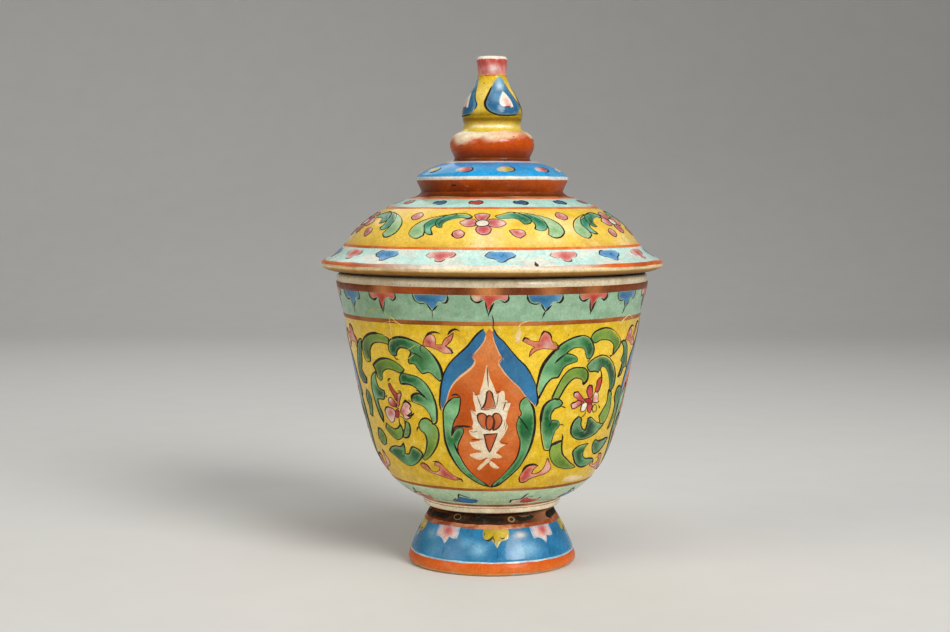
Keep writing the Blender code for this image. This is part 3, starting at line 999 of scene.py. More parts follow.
def paint_fronds():
    """The green leaves that hold the panel from below."""
    green_left = [
        (-13, 59.2), (-16.1, 59), (-18.6, 57.5), (-20.4, 55.3), (-20.9, 51.9), (-21.1, 48.2),
        (-20.9, 44.8), (-19.6, 41.5), (-17.9, 38.7), (-15.4, 35.8), (-12.5, 33.8), (-9.3, 32.2),
        (-5.7, 30.9), (-1.8, 30.2), (-5.7, 32.2), (-9.3, 34.2), (-12.1, 36.5), (-14.3, 39.4),
        (-15.6, 42.3), (-15.2, 44.4), (-13.6, 46.7), (-12.5, 48.9), (-12.9, 49.7), (-15.4, 49.3),
        (-17.1, 47.8), (-17.9, 46.9), (-17.3, 49.3), (-16.1, 51.9), (-14.3, 54.1), (-13.4, 56.8),
    ]
    green_right = [
        (12.9, 59.4), (11.1, 58.3), (10.5, 56), (11.4, 54.1), (10.2, 52.6), (9.6, 50), (10.4, 47.8),
        (11.6, 45.2), (11.4, 42.3), (10.4, 39.7), (8.2, 37.3), (5.7, 35.1), (3.2, 33.2), (0, 31.2),
        (-0.7, 30.2), (2.1, 30.6), (5.4, 32.2), (8.6, 34.2), (11.8, 36.5), (14.3, 39.7), (16.1, 43),
        (17.1, 46.3), (17.5, 50), (17.1, 53), (16.1, 56), (14.6, 57.9),
    ]
    veins = [
        (-17, 55, 3, MIST_GREEN, 0.95), (-19, 50, 2.5, MIST_GREEN, 0.6), (-19.6, 45, 3, GREEN, 0.3),
        (-17, 41, 3, MIST_GREEN, 0.5), (14, 56, 2.5, MIST_GREEN, 0.7), (-8, 32.5, 4, DEEP_GREEN, 0.6),
        (13, 48, 3, DEEP_GREEN, 0.45), (7, 34.5, 4, GREEN, 0.5), (15, 43, 3, MIST_GREEN, 0.45),
        (-14, 47.5, 2, DEEP_GREEN, 0.6), (-12.6, 37, 2.5, MIST_GREEN, 0.5),
    ]
    for frond, outer in ((green_left, slice(1, 15)), (green_right, slice(13, 26))):
        fill(bowl, "green", frond, GREEN, veins, 1, QUARTERS, PALE_LEAF)
        stroke(bowl, frond, 0.36, True, layer=2, turns=QUARTERS)
        stroke(bowl, frond[outer], 0.66, layer=2.2, turns=QUARTERS)


def paint_flame():
    """The pale flame in the panel, its red details and cracks, and the bold flicks over the leaves."""
    flame = [
        (-2.4, 70.9), (-2.1, 69.6), (-1.7, 67.4), (-0.9, 65.1), (0, 63.5), (0.8, 61.9), (1.4, 60.6),
        (2.2, 60.9), (3, 61.7), (4.2, 61.5), (4.7, 60.3), (4.7, 58.6), (5.4, 58.7), (6, 57.9),
        (7.1, 57.9), (6.7, 56.3), (6, 54.9), (5.7, 53.3), (5.3, 52), (6.2, 50.1), (5.5, 48.6),
        (4.6, 47.2), (2.8, 45.4), (3.8, 44.7), (6.3, 44.8), (5.1, 44), (3.2, 43.2), (2.1, 42.2),
        (1.4, 41.7), (3.3, 41), (4.6, 40.2), (2.4, 39.8), (-0.2, 39.9), (-1.2, 39.4), (1.1, 38.1),
        (3.5, 36.6), (1.2, 36.4), (-1.2, 37.2), (-2.1, 38.4), (-3.5, 37.6), (-4.8, 36.7), (-6.6, 35.6),
        (-7.7, 36.4), (-6.4, 37.6), (-4.4, 38.9), (-3.1, 40), (-6, 39.3), (-8.6, 39.8), (-11.2, 41),
        (-9.1, 41.6), (-5.6, 42), (-9, 43.3), (-10.5, 45.2), (-8.2, 45.4), (-5.7, 45.8), (-7.8, 46.4),
        (-9.3, 47.1), (-10.6, 49.1), (-8.6, 49.3), (-8.9, 50.1), (-8.5, 51.3), (-9, 53.1), (-9.2, 54.5),
        (-10.2, 56), (-7.3, 54.9), (-7.7, 57.2), (-8.2, 58.7), (-8.2, 60.3), (-8.7, 62.2), (-7.6, 61.2),
        (-6.6, 60.1), (-5.6, 60.6), (-5.3, 61.5), (-4.4, 63.7), (-3.6, 66.6), (-2.9, 69.2),
    ]
    fill(bowl, "white", flame, FLAME, [(-2, 55, 9, WHITE, 0.45)], 1, QUARTERS, FLAME_EDGE)
    bell = [
        (-1.6, 61.6), (-2.4, 61.1), (-2.7, 59.7), (-3.0, 58.3), (-3.6, 57.0), (-4.9, 55.7), (-2.8, 55.5),
        (-1.1, 55.8), (0.9, 56.1), (0.5, 57.7), (-0.1, 59.2), (-0.7, 61.0),
    ]
    lobe_left = [
        (-6.3, 53.8), (-5.2, 54.4), (-3.7, 54.3), (-2.7, 53.5), (-3.0, 52.0), (-2.9, 50.4), (-2.6, 49.3),
        (-4.1, 49.7), (-5.5, 51.1), (-6.3, 52.4),
    ]
    lobe_middle = [
        (-2.7, 53.1), (-1.8, 53.7), (-0.5, 53.5), (0.2, 52.5), (0.1, 50.9), (-0.7, 49.5), (-1.6, 49.0),
        (-2.5, 49.5), (-2.9, 50.9), (-2.9, 52.2),
    ]
    lobe_right = [
        (-0.2, 53.6), (0.6, 54.4), (2.1, 54.3), (3.2, 53.3), (3.5, 51.8), (2.7, 50.4), (1.3, 49.4),
        (-0.2, 49.0), (0.2, 50.2), (0.5, 52.0),
    ]
    spear = [
        (-3.8, 47.6), (-1.1, 47.8), (1.7, 48.0), (0.9, 46.3), (-0.4, 43.8), (-1.6, 42.0), (-2.6, 43.5),
        (-3.3, 45.8),
    ]
    glow = [
        (-1.5, 57, 1.8, PEACH, 0.35), (-5, 52.6, 1.2, PEACH, 0.4), (2.4, 53, 1.2, PEACH, 0.4),
        (-1, 45, 1.8, ORANGE, 0.35),
    ]
    for order, detail in enumerate((bell, lobe_left, lobe_right, lobe_middle, spear)):
        fill(bowl, "rose", detail, BRICK, glow, 1.6 + order * OVERLAP, QUARTERS)
        stroke(bowl, detail, 0.52, True, DETAIL_INK, 2.6 + order * OVERLAP, QUARTERS)
    for path in (
        [(-2.4, 69.2), (-2.2, 66), (-1.9, 62.6)], [(-8.2, 60.9), (-6.7, 60.1), (-5.4, 60.6)],
        [(0.8, 61.8), (1.7, 61.0), (3.0, 61.7)], [(-6.4, 59.9), (-5.3, 57.4), (-4.7, 55.9)],
        [(1.9, 60.6), (1.6, 58.4), (1.2, 56.5)], [(4.9, 58.2), (4.4, 56.8), (3.8, 55.3)],
        [(3.3, 57.8), (4.8, 57.7), (7.0, 57.9)], [(4.9, 52.0), (4.5, 50.6), (4.2, 49.4)],
        [(5.4, 51.1), (5.2, 49.9), (4.9, 48.9)], [(-9.4, 45.9), (-6.9, 46.1), (-4.2, 46.2)],
        [(-7.2, 42.8), (-5.9, 42.4), (-4.5, 42.2)], [(3.1, 45.4), (4.7, 44.9), (6.4, 44.7)],
        [(1.4, 41.9), (2.3, 41.7), (3.4, 41.4)], [(-4.9, 39.3), (-3.9, 39.8), (-3.0, 40.4)],
        [(-2.3, 37.8), (-1.7, 38.6), (-1.1, 39.4)], [(-9.7, 55.7), (-8.1, 54.6), (-6.5, 53.4)],
        [(-10.4, 49.0), (-8.2, 48.4), (-6.4, 48.8)],
    ):
        stroke(bowl, path, 0.3, False, CRACK_INK, 2.4, QUARTERS)
    for path in (
        [(-17.9, 46.9), (-16, 49.8), (-12.6, 50.2), (-9.3, 50)], [(10, 53.6), (12.4, 51.4), (14.8, 48.9)],
        [(-4.6, 31.6), (-2.2, 30.4), (-0.9, 30.1), (0.8, 30.5), (3.4, 31.9)],
        [(-17.2, 44.8), (-16.2, 42.6), (-15.2, 40.6)], [(-13, 59.3), (-14.6, 60.2), (-16.6, 59.8)],
    ):
        stroke(bowl, path, 0.75, False, INK, 3, QUARTERS)


# The leaf scroll to the right of a medallion: (outline, colour, touches) leaves, and flicks of ink
RIGHT_LEAVES = [
    ([(18.7, 59), (17.7, 61.3), (18.1, 65), (19.6, 69.2), (22.7, 72.6), (26.5, 75.5), (30.4, 77),
      (35, 77.7), (38.1, 77), (40.4, 75.1), (41.5, 72.6), (40.4, 70.7), (38.5, 70.4), (37.5, 71.9),
      (36.5, 73.4), (34.6, 74.1), (31.2, 73.9), (28.5, 72.4), (31.5, 72), (33.8, 70.7), (33.8, 69.8),
      (31.5, 69.4), (28.5, 68.5), (26.9, 66.6), (26.2, 65.5), (23.5, 65.1), (21.5, 63.6), (20, 61.3)],
     GREEN,
     [(20, 64, 4, MIST_GREEN, 0.9), (24, 71, 3, MIST_GREEN, 0.7), (33, 76.2, 3, MIST_GREEN, 0.5),
      (40, 74, 3, DEEP_GREEN, 0.8), (29, 70, 3, GREEN, 0.8), (37, 76, 2, GREEN, 0.6)]),
    ([(39.2, 76.8), (40, 77.9), (43.5, 79.2), (46.9, 79.4), (50.8, 78.7), (54.6, 77), (57.7, 75.1),
      (58.1, 73.9), (56.2, 72.2), (53.5, 70.7), (53.5, 72.2), (53.1, 73.8), (51.2, 74.9), (47.7, 75.8),
      (44.2, 75.8), (41.5, 75.1)], LEAF,
     [(56, 74, 3, OLIVE, 0.4), (45, 77.6, 4, SPRING, 0.35), (41, 76.4, 2, GREEN, 0.5)]),
    ([(39.2, 67.7), (40.4, 68.9), (43.5, 70.2), (46.5, 70.7), (50, 70.2), (53.5, 68.7), (56.5, 66.4),
      (58.5, 63.9), (58.8, 61.3), (58.5, 59.8), (55.8, 59.6), (55, 61.3), (53.8, 63.2), (52.3, 65),
      (50.4, 66.6), (47.7, 67.4), (46.5, 66.2), (45.8, 65.5), (43.5, 66), (41.2, 66)], DEEP_GREEN,
     [(43, 67.6, 2.5, MIST_GREEN, 0.6), (57, 62, 2.5, GREEN, 0.6), (50, 68.6, 2.5, GREEN, 0.6)]),
    ([(24.2, 59), (26.2, 62.8), (28.5, 65.9), (31.2, 67.6), (35, 67.9), (38.1, 67.4), (39.8, 65.9),
      (39.8, 63.9), (38.1, 62.6), (37.5, 63.7), (35.8, 64.5), (33.5, 64.7), (31.2, 63.6), (29.2, 61.7),
      (27.7, 59.4), (26.9, 58.3)], LEAF,
     [(27, 61, 2.5, SPRING, 0.6), (38, 65.5, 2.5, GREEN, 0.35), (32, 66, 2.5, SPRING, 0.3)]),
    ([(25.8, 58.3), (23.8, 57.9), (21.5, 56.4), (20.6, 53.8), (20.6, 50.8), (21.2, 47.8), (22.3, 44.8),
      (24.2, 42.3), (26.2, 42.3), (26.5, 44.4), (26.9, 46.7), (27.7, 48.5), (29.2, 49.9), (28.5, 51.2),
      (26.9, 51.7), (25, 51.5), (24.8, 53.8), (26.2, 55.3), (28.5, 55.9), (29.4, 56.8), (28.1, 57.9)],
     GREEN,
     [(26, 56.8, 2, MIST_GREEN, 0.5), (23.6, 45, 2.5, MIST_GREEN, 0.5), (21.8, 53, 2.2, DEEP_GREEN, 0.5),
      (26.5, 50, 1.8, DEEP_GREEN, 0.5)]),
    ([(26.5, 43), (31.5, 44.4), (31.7, 42.6), (33.1, 40), (35.8, 38.4), (38.8, 36.9), (41.9, 35.8),
      (43.5, 35.1), (39.6, 34.8), (35, 35.3), (31.2, 36.2), (28.5, 37.6), (26.5, 39.7), (26, 41.6)], LEAF,
     [(29, 41.5, 3, SPRING, 0.55), (36, 36.8, 3, OLIVE, 0.3)]),
    ([(38.5, 51.9), (36.5, 50.8), (35.4, 48.9), (35.8, 46.7), (38.1, 45.2), (41.9, 44.4), (46.5, 44.6),
      (50.8, 45.4), (54.2, 47), (56.5, 48.2), (53.5, 48.7), (50.4, 49.3), (47.7, 50.4), (45.4, 51.2),
      (44.2, 50.8), (44.2, 48.9), (43.7, 47.2), (41.9, 47.8), (40.4, 49.3), (40, 51.2)], DEEP_GREEN,
     [(45, 46, 2.6, DEEP_GREEN, 0.9), (52, 47.6, 2.2, MIST_GREEN, 0.5), (37.5, 49.4, 2, MIST_GREEN, 0.45),
      (39, 46.4, 1.6, GREEN, 0.6)]),
    ([(55.8, 59.4), (57.7, 59), (59.2, 56.8), (60, 53.8), (59.2, 50.8), (56.9, 48.9), (55, 48.9),
      (53.1, 50.4), (52.3, 51.5), (54.2, 53.4), (56.2, 55.3), (56.3, 57.1)], LEAF,
     [(57.5, 52, 2.5, SPRING, 0.5)]),
    ([(39.6, 40.4), (40.4, 41.2), (42.7, 42.1), (45.4, 42.3), (48.5, 42.5), (46.5, 40.8), (46.5, 39.1),
      (48.8, 37.7), (52.7, 37.3), (56.5, 36.9), (57.7, 36.4), (53.5, 35.1), (49.6, 34.8), (45.8, 35.5),
      (42.7, 36.9), (40.8, 38.7)], GREEN,
     [(43, 38.5, 3, DEEP_GREEN, 0.7), (53, 36.2, 3, MIST_GREEN, 0.4)]),
    ([(51.9, 41.6), (51.9, 42.7), (53.5, 43.7), (55.8, 43), (59.2, 43), (63.5, 43.4), (65.8, 43.2),
      (61.9, 40.4), (58.5, 39.1), (55, 39.1), (52.7, 40.6)], DEEP_GREEN,
     [(60, 41.6, 3, MIST_GREEN, 0.5), (54, 41, 2.5, GREEN, 0.6)]),
    ([(58.8, 74.5), (61.2, 74.9), (64.2, 73.8), (66.4, 71.5), (67.8, 68.8), (68.4, 66.2), (65.6, 66.2),
      (64.2, 64.3), (61.2, 63.6), (62.7, 65.9), (63.1, 68.1), (61.2, 68.8), (62.7, 70.7), (61.9, 72.6)],
     DEEP_GREEN, [(64.5, 70, 3, GREEN, 0.7), (62, 74, 2, MIST_GREEN, 0.4)]),
    ([(63.4, 59.2), (66.5, 59.6), (68.6, 58.4), (68.4, 54.2), (67, 50.2), (64.6, 47), (62.6, 46.2),
      (64.6, 50), (64.8, 54), (62.8, 56.6)], GREEN,
     [(66, 53, 3, LEAF, 0.6), (65, 58, 2, DEEP_GREEN, 0.5)]),
]
RIGHT_FLICKS = [
    [(28.5, 72.5), (26.2, 71.4), (23.8, 69.6)], [(53.5, 70.9), (52.4, 70.4), (51.6, 71)],
    [(28.5, 55.9), (30, 55.6), (31, 55.2)], [(29.2, 49.9), (30.4, 50), (31.2, 49.6)],
    [(25, 51.5), (24.5, 50.6), (24.2, 49.3)], [(31.4, 44.2), (31.6, 46), (31.0, 47)],
    [(40.4, 70.6), (39.4, 69.6), (38.4, 69.8)], [(43.7, 47.3), (42.8, 46.6), (41.6, 46.6)],
    [(58.6, 60), (57, 58.8), (55.2, 59.2)], [(46.6, 40.8), (45.2, 40.2), (44.2, 40.6)],
]

# The leaf scroll to the left of a medallion: (outline, colour, touches) leaves, and flicks of ink
LEFT_LEAVES = [
    ([(-20.2, 64.7), (-20.2, 66.6), (-21.3, 69.6), (-23.8, 72.6), (-26.9, 74.7), (-30.8, 76.2),
      (-34.6, 77), (-38.1, 77), (-41.2, 76.2), (-42.7, 74.5), (-42.7, 72.6), (-40.8, 71.3), (-39.2, 71.5),
      (-38.7, 72.8), (-37.3, 73.8), (-35, 73.9), (-33.1, 73.4), (-32.3, 72.6), (-32.7, 71.9),
      (-33.7, 70.6), (-33.7, 69.1), (-31.5, 69.1), (-30, 67.7), (-28.5, 66.4), (-25.4, 66.8),
      (-23.1, 65.5), (-21.5, 64.3)], GREEN,
     [(-39, 75, 3.5, DEEP_GREEN, 0.75), (-23, 68.5, 3.4, MIST_GREEN, 0.6), (-29, 71.2, 2.6, OLIVE, 0.4),
      (-29, 74.6, 2.5, MIST_GREEN, 0.35), (-40.8, 73, 2, DEEP_GREEN, 0.5)]),
    ([(-42.7, 76.8), (-45, 77.7), (-48.1, 78.1), (-51.9, 77.9), (-55.8, 77), (-58.8, 75.6), (-60.8, 73.8),
      (-60.8, 71.5), (-59.6, 69.2), (-58.1, 68.8), (-55.8, 69.4), (-55.4, 71.1), (-54.6, 73),
      (-52.7, 74.5), (-49.6, 75.3), (-45.8, 75.3), (-43.1, 74.9)], LEAF,
     [(-58, 72, 3.5, OLIVE, 0.85), (-47, 77, 4, SPRING, 0.2)]),
    ([(-36.5, 67), (-38.1, 68.1), (-41.2, 69.4), (-45, 70), (-48.8, 69.6), (-51.9, 68.5), (-54.2, 67.4),
      (-52.9, 65.9), (-52.3, 63.9), (-50.4, 62.8), (-49.2, 63.4), (-48.8, 65.1), (-47.3, 66.2),
      (-44.2, 66.8), (-41.2, 66.4), (-38.5, 65.9)], LEAF,
     [(-51, 66, 3, OLIVE, 0.8), (-42, 68, 3, LEAF, 0.3)]),
    ([(-39.4, 64.7), (-38.1, 65.9), (-34.6, 65.7), (-30.8, 65.1), (-27.7, 63.4), (-25.4, 60.5),
      (-24.2, 57.5), (-24, 54.1), (-25, 51.2), (-26.5, 50.8), (-26.7, 52.6), (-28.1, 54.9), (-30.4, 56.4),
      (-33.1, 57), (-34.8, 57.5), (-34.6, 59), (-33.1, 59.8), (-31.5, 60.1), (-28.8, 59), (-30.8, 60.9),
      (-33.1, 62.2), (-36.2, 62.8), (-39.2, 62.6)], GREEN,
     [(-25.6, 55, 3.5, MIST_GREEN, 0.85), (-28, 62, 2.5, MIST_GREEN, 0.6),
      (-37, 64.4, 3, DEEP_GREEN, 0.6), (-33, 58.5, 2, DEEP_GREEN, 0.6)]),
    ([(-31.2, 51.5), (-29.2, 51.9), (-26.5, 50.6), (-24.6, 49.3), (-24.2, 47), (-25.4, 44), (-27.7, 41.5),
      (-30.8, 39.4), (-33.5, 38.4), (-34.2, 39.1), (-32.3, 40.8), (-30.8, 43), (-30.2, 45.2), (-30.8, 47),
      (-32.7, 48.2), (-33.1, 49.3)], LEAF,
     [(-30.5, 48.6, 2.8, MIST_GREEN, 0.8), (-26, 46, 3, SPRING, 0.3), (-29, 41, 2.5, OLIVE, 0.5)]),
    ([(-53.5, 65.5), (-55.8, 64.7), (-58.1, 62.4), (-58.8, 59.8), (-58.5, 56.8), (-57.7, 53.8),
      (-56.2, 51.2), (-55, 49.7), (-54.2, 51.9), (-55.4, 54.5), (-55.8, 56.8), (-53.5, 57), (-51.5, 57),
      (-50, 58.3), (-49.8, 59.8), (-51.5, 60.1), (-53.3, 60.9), (-54, 62.4)], GREEN,
     [(-57.6, 58, 2.5, MIST_GREEN, 0.8), (-53, 58.6, 2.5, DEEP_GREEN, 0.8),
      (-56.2, 63, 2, MIST_GREEN, 0.7)]),
    ([(-52.9, 48.7), (-50.8, 47.8), (-48, 47.1), (-45, 48), (-43.7, 49), (-43.1, 47.8), (-42.9, 45.8),
      (-44.6, 44.6), (-47.3, 43.8), (-50.1, 44.4), (-52.3, 45.7), (-54.2, 47.1)], LEAF,
     [(-51, 46.4, 3, OLIVE, 0.6), (-45, 46.4, 2, SPRING, 0.4)]),
    ([(-39.8, 50.7), (-38.3, 50.5), (-37.6, 49.1), (-38.2, 47.3), (-39.9, 45.7), (-42.3, 45.4),
      (-42.6, 46.2), (-41.1, 47.8), (-40.2, 49.3)], SAGE, [(-39, 48.5, 2, OLIVE, 0.5)]),
    ([(-56.5, 39.4), (-53.5, 40.8), (-50.4, 41.4), (-46.5, 41.5), (-44.2, 42.8), (-44.2, 40.8),
      (-45, 39.4), (-42.3, 39.5), (-40.8, 40.8), (-39.2, 41.9), (-37.3, 41.7), (-35, 40.8), (-34.2, 39.7),
      (-36.5, 38), (-39.6, 36.5), (-43.1, 35.6), (-46.9, 35.8), (-50.4, 37.2), (-53.5, 38.4)], GREEN,
     [(-50, 39.5, 3, DEEP_GREEN, 0.7), (-43, 37.2, 3, MIST_GREEN, 0.4),
      (-37.5, 40, 2.5, DEEP_GREEN, 0.6)]),
    ([(-60.8, 75.1), (-62.7, 74.9), (-65.8, 72.6), (-68.1, 69.2), (-69.6, 65.9), (-69.2, 62.8),
      (-66.5, 61.3), (-63.1, 61.3), (-62.3, 62.8), (-64.2, 63.9), (-65.8, 65.5), (-63.8, 68.1),
      (-62.7, 71.1)], DEEP_GREEN, [(-65, 70, 3, GREEN, 0.7), (-62, 74, 2, LEAF, 0.5)]),
    ([(-66.4, 56.2), (-64.8, 59), (-62.6, 58.4), (-61.6, 56.6), (-62, 54.2), (-64.2, 50.6), (-66.4, 51.2),
      (-65.4, 53.8)], GREEN, [(-63.5, 56, 2, DEEP_GREEN, 0.6)]),
    ([(-63.4, 43.3), (-61.6, 46.4), (-58.6, 46.2), (-56.4, 44.4), (-57.2, 42), (-60, 41.3)], LEAF,
     [(-60, 44, 2.5, OLIVE, 0.6)]),
]
LEFT_FLICKS = [
    [(-32.3, 72.8), (-30, 72.2), (-27.7, 71)], [(-32, 60.9), (-29.4, 59.8), (-27.3, 58)],
    [(-40.8, 71.3), (-39.8, 70.2), (-38.6, 70.4)], [(-34.8, 57.4), (-35.8, 57), (-36.4, 57.6)],
    [(-33.1, 49.2), (-34, 48.6), (-34.4, 47.6)], [(-41.9, 47), (-41.2, 46.2), (-40.2, 46.4)],
    [(-45, 39.4), (-46, 38.6), (-47.2, 38.8)], [(-50, 58.2), (-49, 57.6), (-48.6, 58.4)],
    [(-56, 69.4), (-57, 70.6), (-56.8, 72.2)],
]

# The red flower in the right-hand scroll: petals, (path, width) flicks and stems
RIGHT_PETALS = [
    ([(41.1, 61), (41.9, 61.6), (42.6, 61.8), (43.7, 60.8), (44.3, 59.4), (44.4, 57.9), (43.8, 57.3),
      (42.6, 57.9), (41.4, 59.2), (40.8, 60.1)], ROSE, [(42, 60.8, 1.2, CRIMSON, 0.5)]),
    ([(46.1, 63), (47.2, 63.8), (48.8, 64.2), (49.1, 62.4), (48.5, 60.9), (47.6, 59.7), (46.6, 59.2),
      (45.9, 60.1), (46.2, 61.5)], VERMILION, [(47.8, 62, 1.4, CRIMSON, 0.4)]),
    ([(45.2, 58.2), (45.8, 59.4), (47.2, 59.3), (48.5, 58), (48.5, 56.9), (49.6, 56.1), (47.8, 55.9),
      (45.5, 56.3)], BLUSH, [(46, 57.2, 1.2, ROSE, 0.7)]),
    ([(34.2, 59.1), (34.3, 59.9), (35.6, 60.1), (37.6, 59.2), (39.1, 58.1), (40.5, 57.5), (39.8, 56.6),
      (38.2, 56.9), (36.5, 57.7), (35.2, 58.3)], ROSE,
     [(35, 59.3, 1, BLUSH, 0.6), (39, 57.4, 1, CRIMSON, 0.5)]),
    ([(33.4, 56.3), (35, 56.7), (36.9, 57.3), (39.1, 56.8), (38.7, 56), (37.3, 55.5), (35.8, 54.9),
      (34.3, 54.8)], PINK, [(38, 56.4, 1, ROSE, 0.8), (34.2, 55.6, 0.9, BLUSH, 0.7)]),
    ([(42.9, 55.9), (44.2, 56.2), (45.4, 55.4), (45.3, 53.9), (45, 52.7), (43.4, 53.4), (42.6, 54.7)],
     ROSE, [(44, 55.4, 1, CRIMSON, 0.5)]),
    ([(40.5, 57.5), (42.3, 57.7), (44.2, 57.2), (45.3, 56.3), (44.8, 55.4), (42.9, 55.9), (41.1, 56.5)],
     CRIMSON, ()),
    ([(39.6, 56.1), (41.1, 56.5), (42.3, 56.1), (42.2, 54.9), (41, 53.7), (39.4, 53.7), (39, 54.5)],
     WHITE, ()),
    ([(46.3, 55.1), (47.3, 55.4), (48.6, 54.4), (48.5, 53.2), (47.1, 52.9), (46, 53.9)], LIME, ()),
]
RIGHT_INK = [
    ([(40.7, 61), (41.8, 61.8), (43.4, 61.7), (44.4, 59.7)], 0.5),
    ([(47, 66.6), (48.6, 64), (48.4, 60.5), (47.6, 59.3)], 0.55),
    ([(33.2, 56.1), (34.2, 56.7), (36.4, 57)], 0.5), ([(34.1, 58.9), (34.3, 60), (36.5, 60.2)], 0.45),
    ([(50, 55), (51, 53.9)], 0.5),
]
RIGHT_STEMS = [[(42.4, 53.6), (41.4, 52.2), (39.8, 51.6)]]

# The red and white flower in the left-hand scroll: petals, (path, width) flicks and stems
LEFT_PETALS = [
    ([(-46.2, 62.2), (-45.2, 62.4), (-44.4, 61.1), (-43.1, 60.0), (-42.1, 59.1), (-42.6, 57.9),
      (-43.2, 56.8), (-43.9, 57.3), (-44.2, 58.3), (-45.2, 59.5), (-46.1, 60.8)], CINNABAR,
     [(-45.6, 61.6, 1, CRIMSON, 0.5)]),
    ([(-42.3, 59.0), (-40.7, 59.6), (-39.9, 59.1), (-40.7, 58.0), (-41.6, 56.5), (-42.4, 55.2),
      (-43.3, 55.1), (-43.1, 56.2), (-42.3, 57.7)], DUSTY_ROSE, [(-40.6, 59, 0.9, BLUSH, 0.5)]),
    ([(-48, 57), (-46.8, 57.7), (-45.8, 57.5), (-44.4, 56.7), (-43.7, 55.8), (-44, 54.8), (-45.7, 54.8),
      (-47.3, 55.2), (-48, 55.9)], ROSE, [(-46.9, 57.3, 1, WHITE, 0.9), (-44.6, 55.6, 1, CRIMSON, 0.5)]),
    ([(-51.3, 53.7), (-49.9, 54.3), (-47.6, 54.3), (-45.7, 53.9), (-44.9, 53.1), (-45.9, 51.4),
      (-46.6, 50.4), (-48.9, 49.4), (-49.6, 50), (-50.7, 50.7), (-51.4, 51.7), (-51.8, 52.6)], BLUSH,
     [(-47.6, 53, 1.5, ROSE, 0.95), (-49.4, 52.2, 1.2, CRIMSON, 0.5)]),
    ([(-41.4, 54.2), (-40.1, 55.5), (-38.8, 56.7), (-37.3, 56.6), (-35.8, 55.6), (-36.6, 54.7),
      (-35.6, 53.8), (-37.3, 52.9), (-38.4, 52.3), (-36.7, 52), (-38.2, 51.4), (-39.9, 51.4),
      (-40.7, 52.5), (-41.6, 53.1)], BLUSH, [(-40.4, 53.6, 1.6, ROSE, 1), (-38, 55.6, 1, ROSE, 0.8)]),
    ([(-44.6, 53.6), (-43.6, 54.1), (-42.7, 53.8), (-42.8, 52.7), (-43.7, 51.5), (-44.9, 51.3),
      (-45.1, 52.2)], CRIMSON, ()),
]
LEFT_INK = [
    ([(-46.3, 62.8), (-45.6, 63.7), (-44.3, 63.7)], 0.5),
    ([(-41.5, 60.1), (-40.3, 60.2), (-39.6, 59.4)], 0.45),
    ([(-39.5, 56.4), (-38, 57.2), (-36.4, 56.5), (-35.4, 55.5)], 0.7),
    ([(-52.1, 52.7), (-51.1, 53.9), (-48.6, 54.6)], 0.5),
    ([(-39.2, 52.7), (-37.4, 52.5), (-35.3, 52.9), (-34.5, 53.6)], 0.55),
    ([(-35.9, 53.8), (-36, 52.8), (-36.8, 51.6)], 0.45),
    ([(-44.6, 55.8), (-43.6, 54.6), (-42.4, 54.4)], 0.45),
]
LEFT_STEMS = [
    [(-43.1, 51.9), (-41.4, 51.7), (-40.3, 50.2), (-41, 48)],
    [(-43.3, 51.5), (-43.8, 49.6), (-42.7, 47.8), (-42.6, 46.2)],
]


def paint_leaves(skin, leaves, turns, width=0.46):
    """Green (outline, colour, touches) leaves, paler at the edge, with ink pressed harder on one side."""
    for order, (outline, colour, touches) in enumerate(leaves):
        layer = order * OVERLAP
        fill(skin, "green", outline, colour, touches, layer, turns,
             SPRING if colour is LEAF else PALE_LEAF)
        loose = loosened(skin, outline, width * SLIP_SHARE)
        stroke(skin, loose, width, True, LEAF_INK, layer + 1, turns)
        start = random.randrange(len(loose))
        pressed = [loose[(start + k) % len(loose)] for k in range(len(loose) * 2 // 5)]
        stroke(skin, pressed, width * PRESSED_WIDTH, layer=layer + 1.1, turns=turns)


def paint_scroll(leaves, flicks):
    """A leaf scroll beside a medallion, with flicks of ink between its leaves."""
    paint_leaves(bowl, leaves, HALVES)
    for path in flicks:
        stroke(bowl, path, 0.5, layer=2, turns=HALVES)


def paint_flower(petals, inked, stems):
    """A loose flower on the bowl: (outline, colour, touches) petals, (path, width) flicks and stems."""
    for order, (outline, colour, touches) in enumerate(petals):
        layer = 1 + order * OVERLAP
        fill(bowl, "rose", outline, colour, touches, layer, HALVES)
        stroke(bowl, outline, 0.32, True, PETAL_INK, layer + 1, HALVES)
    for path, width in inked:
        stroke(bowl, path, width, layer=3, turns=HALVES)
    for path in stems:
        stroke(bowl, path, 0.36, layer=1, turns=HALVES)


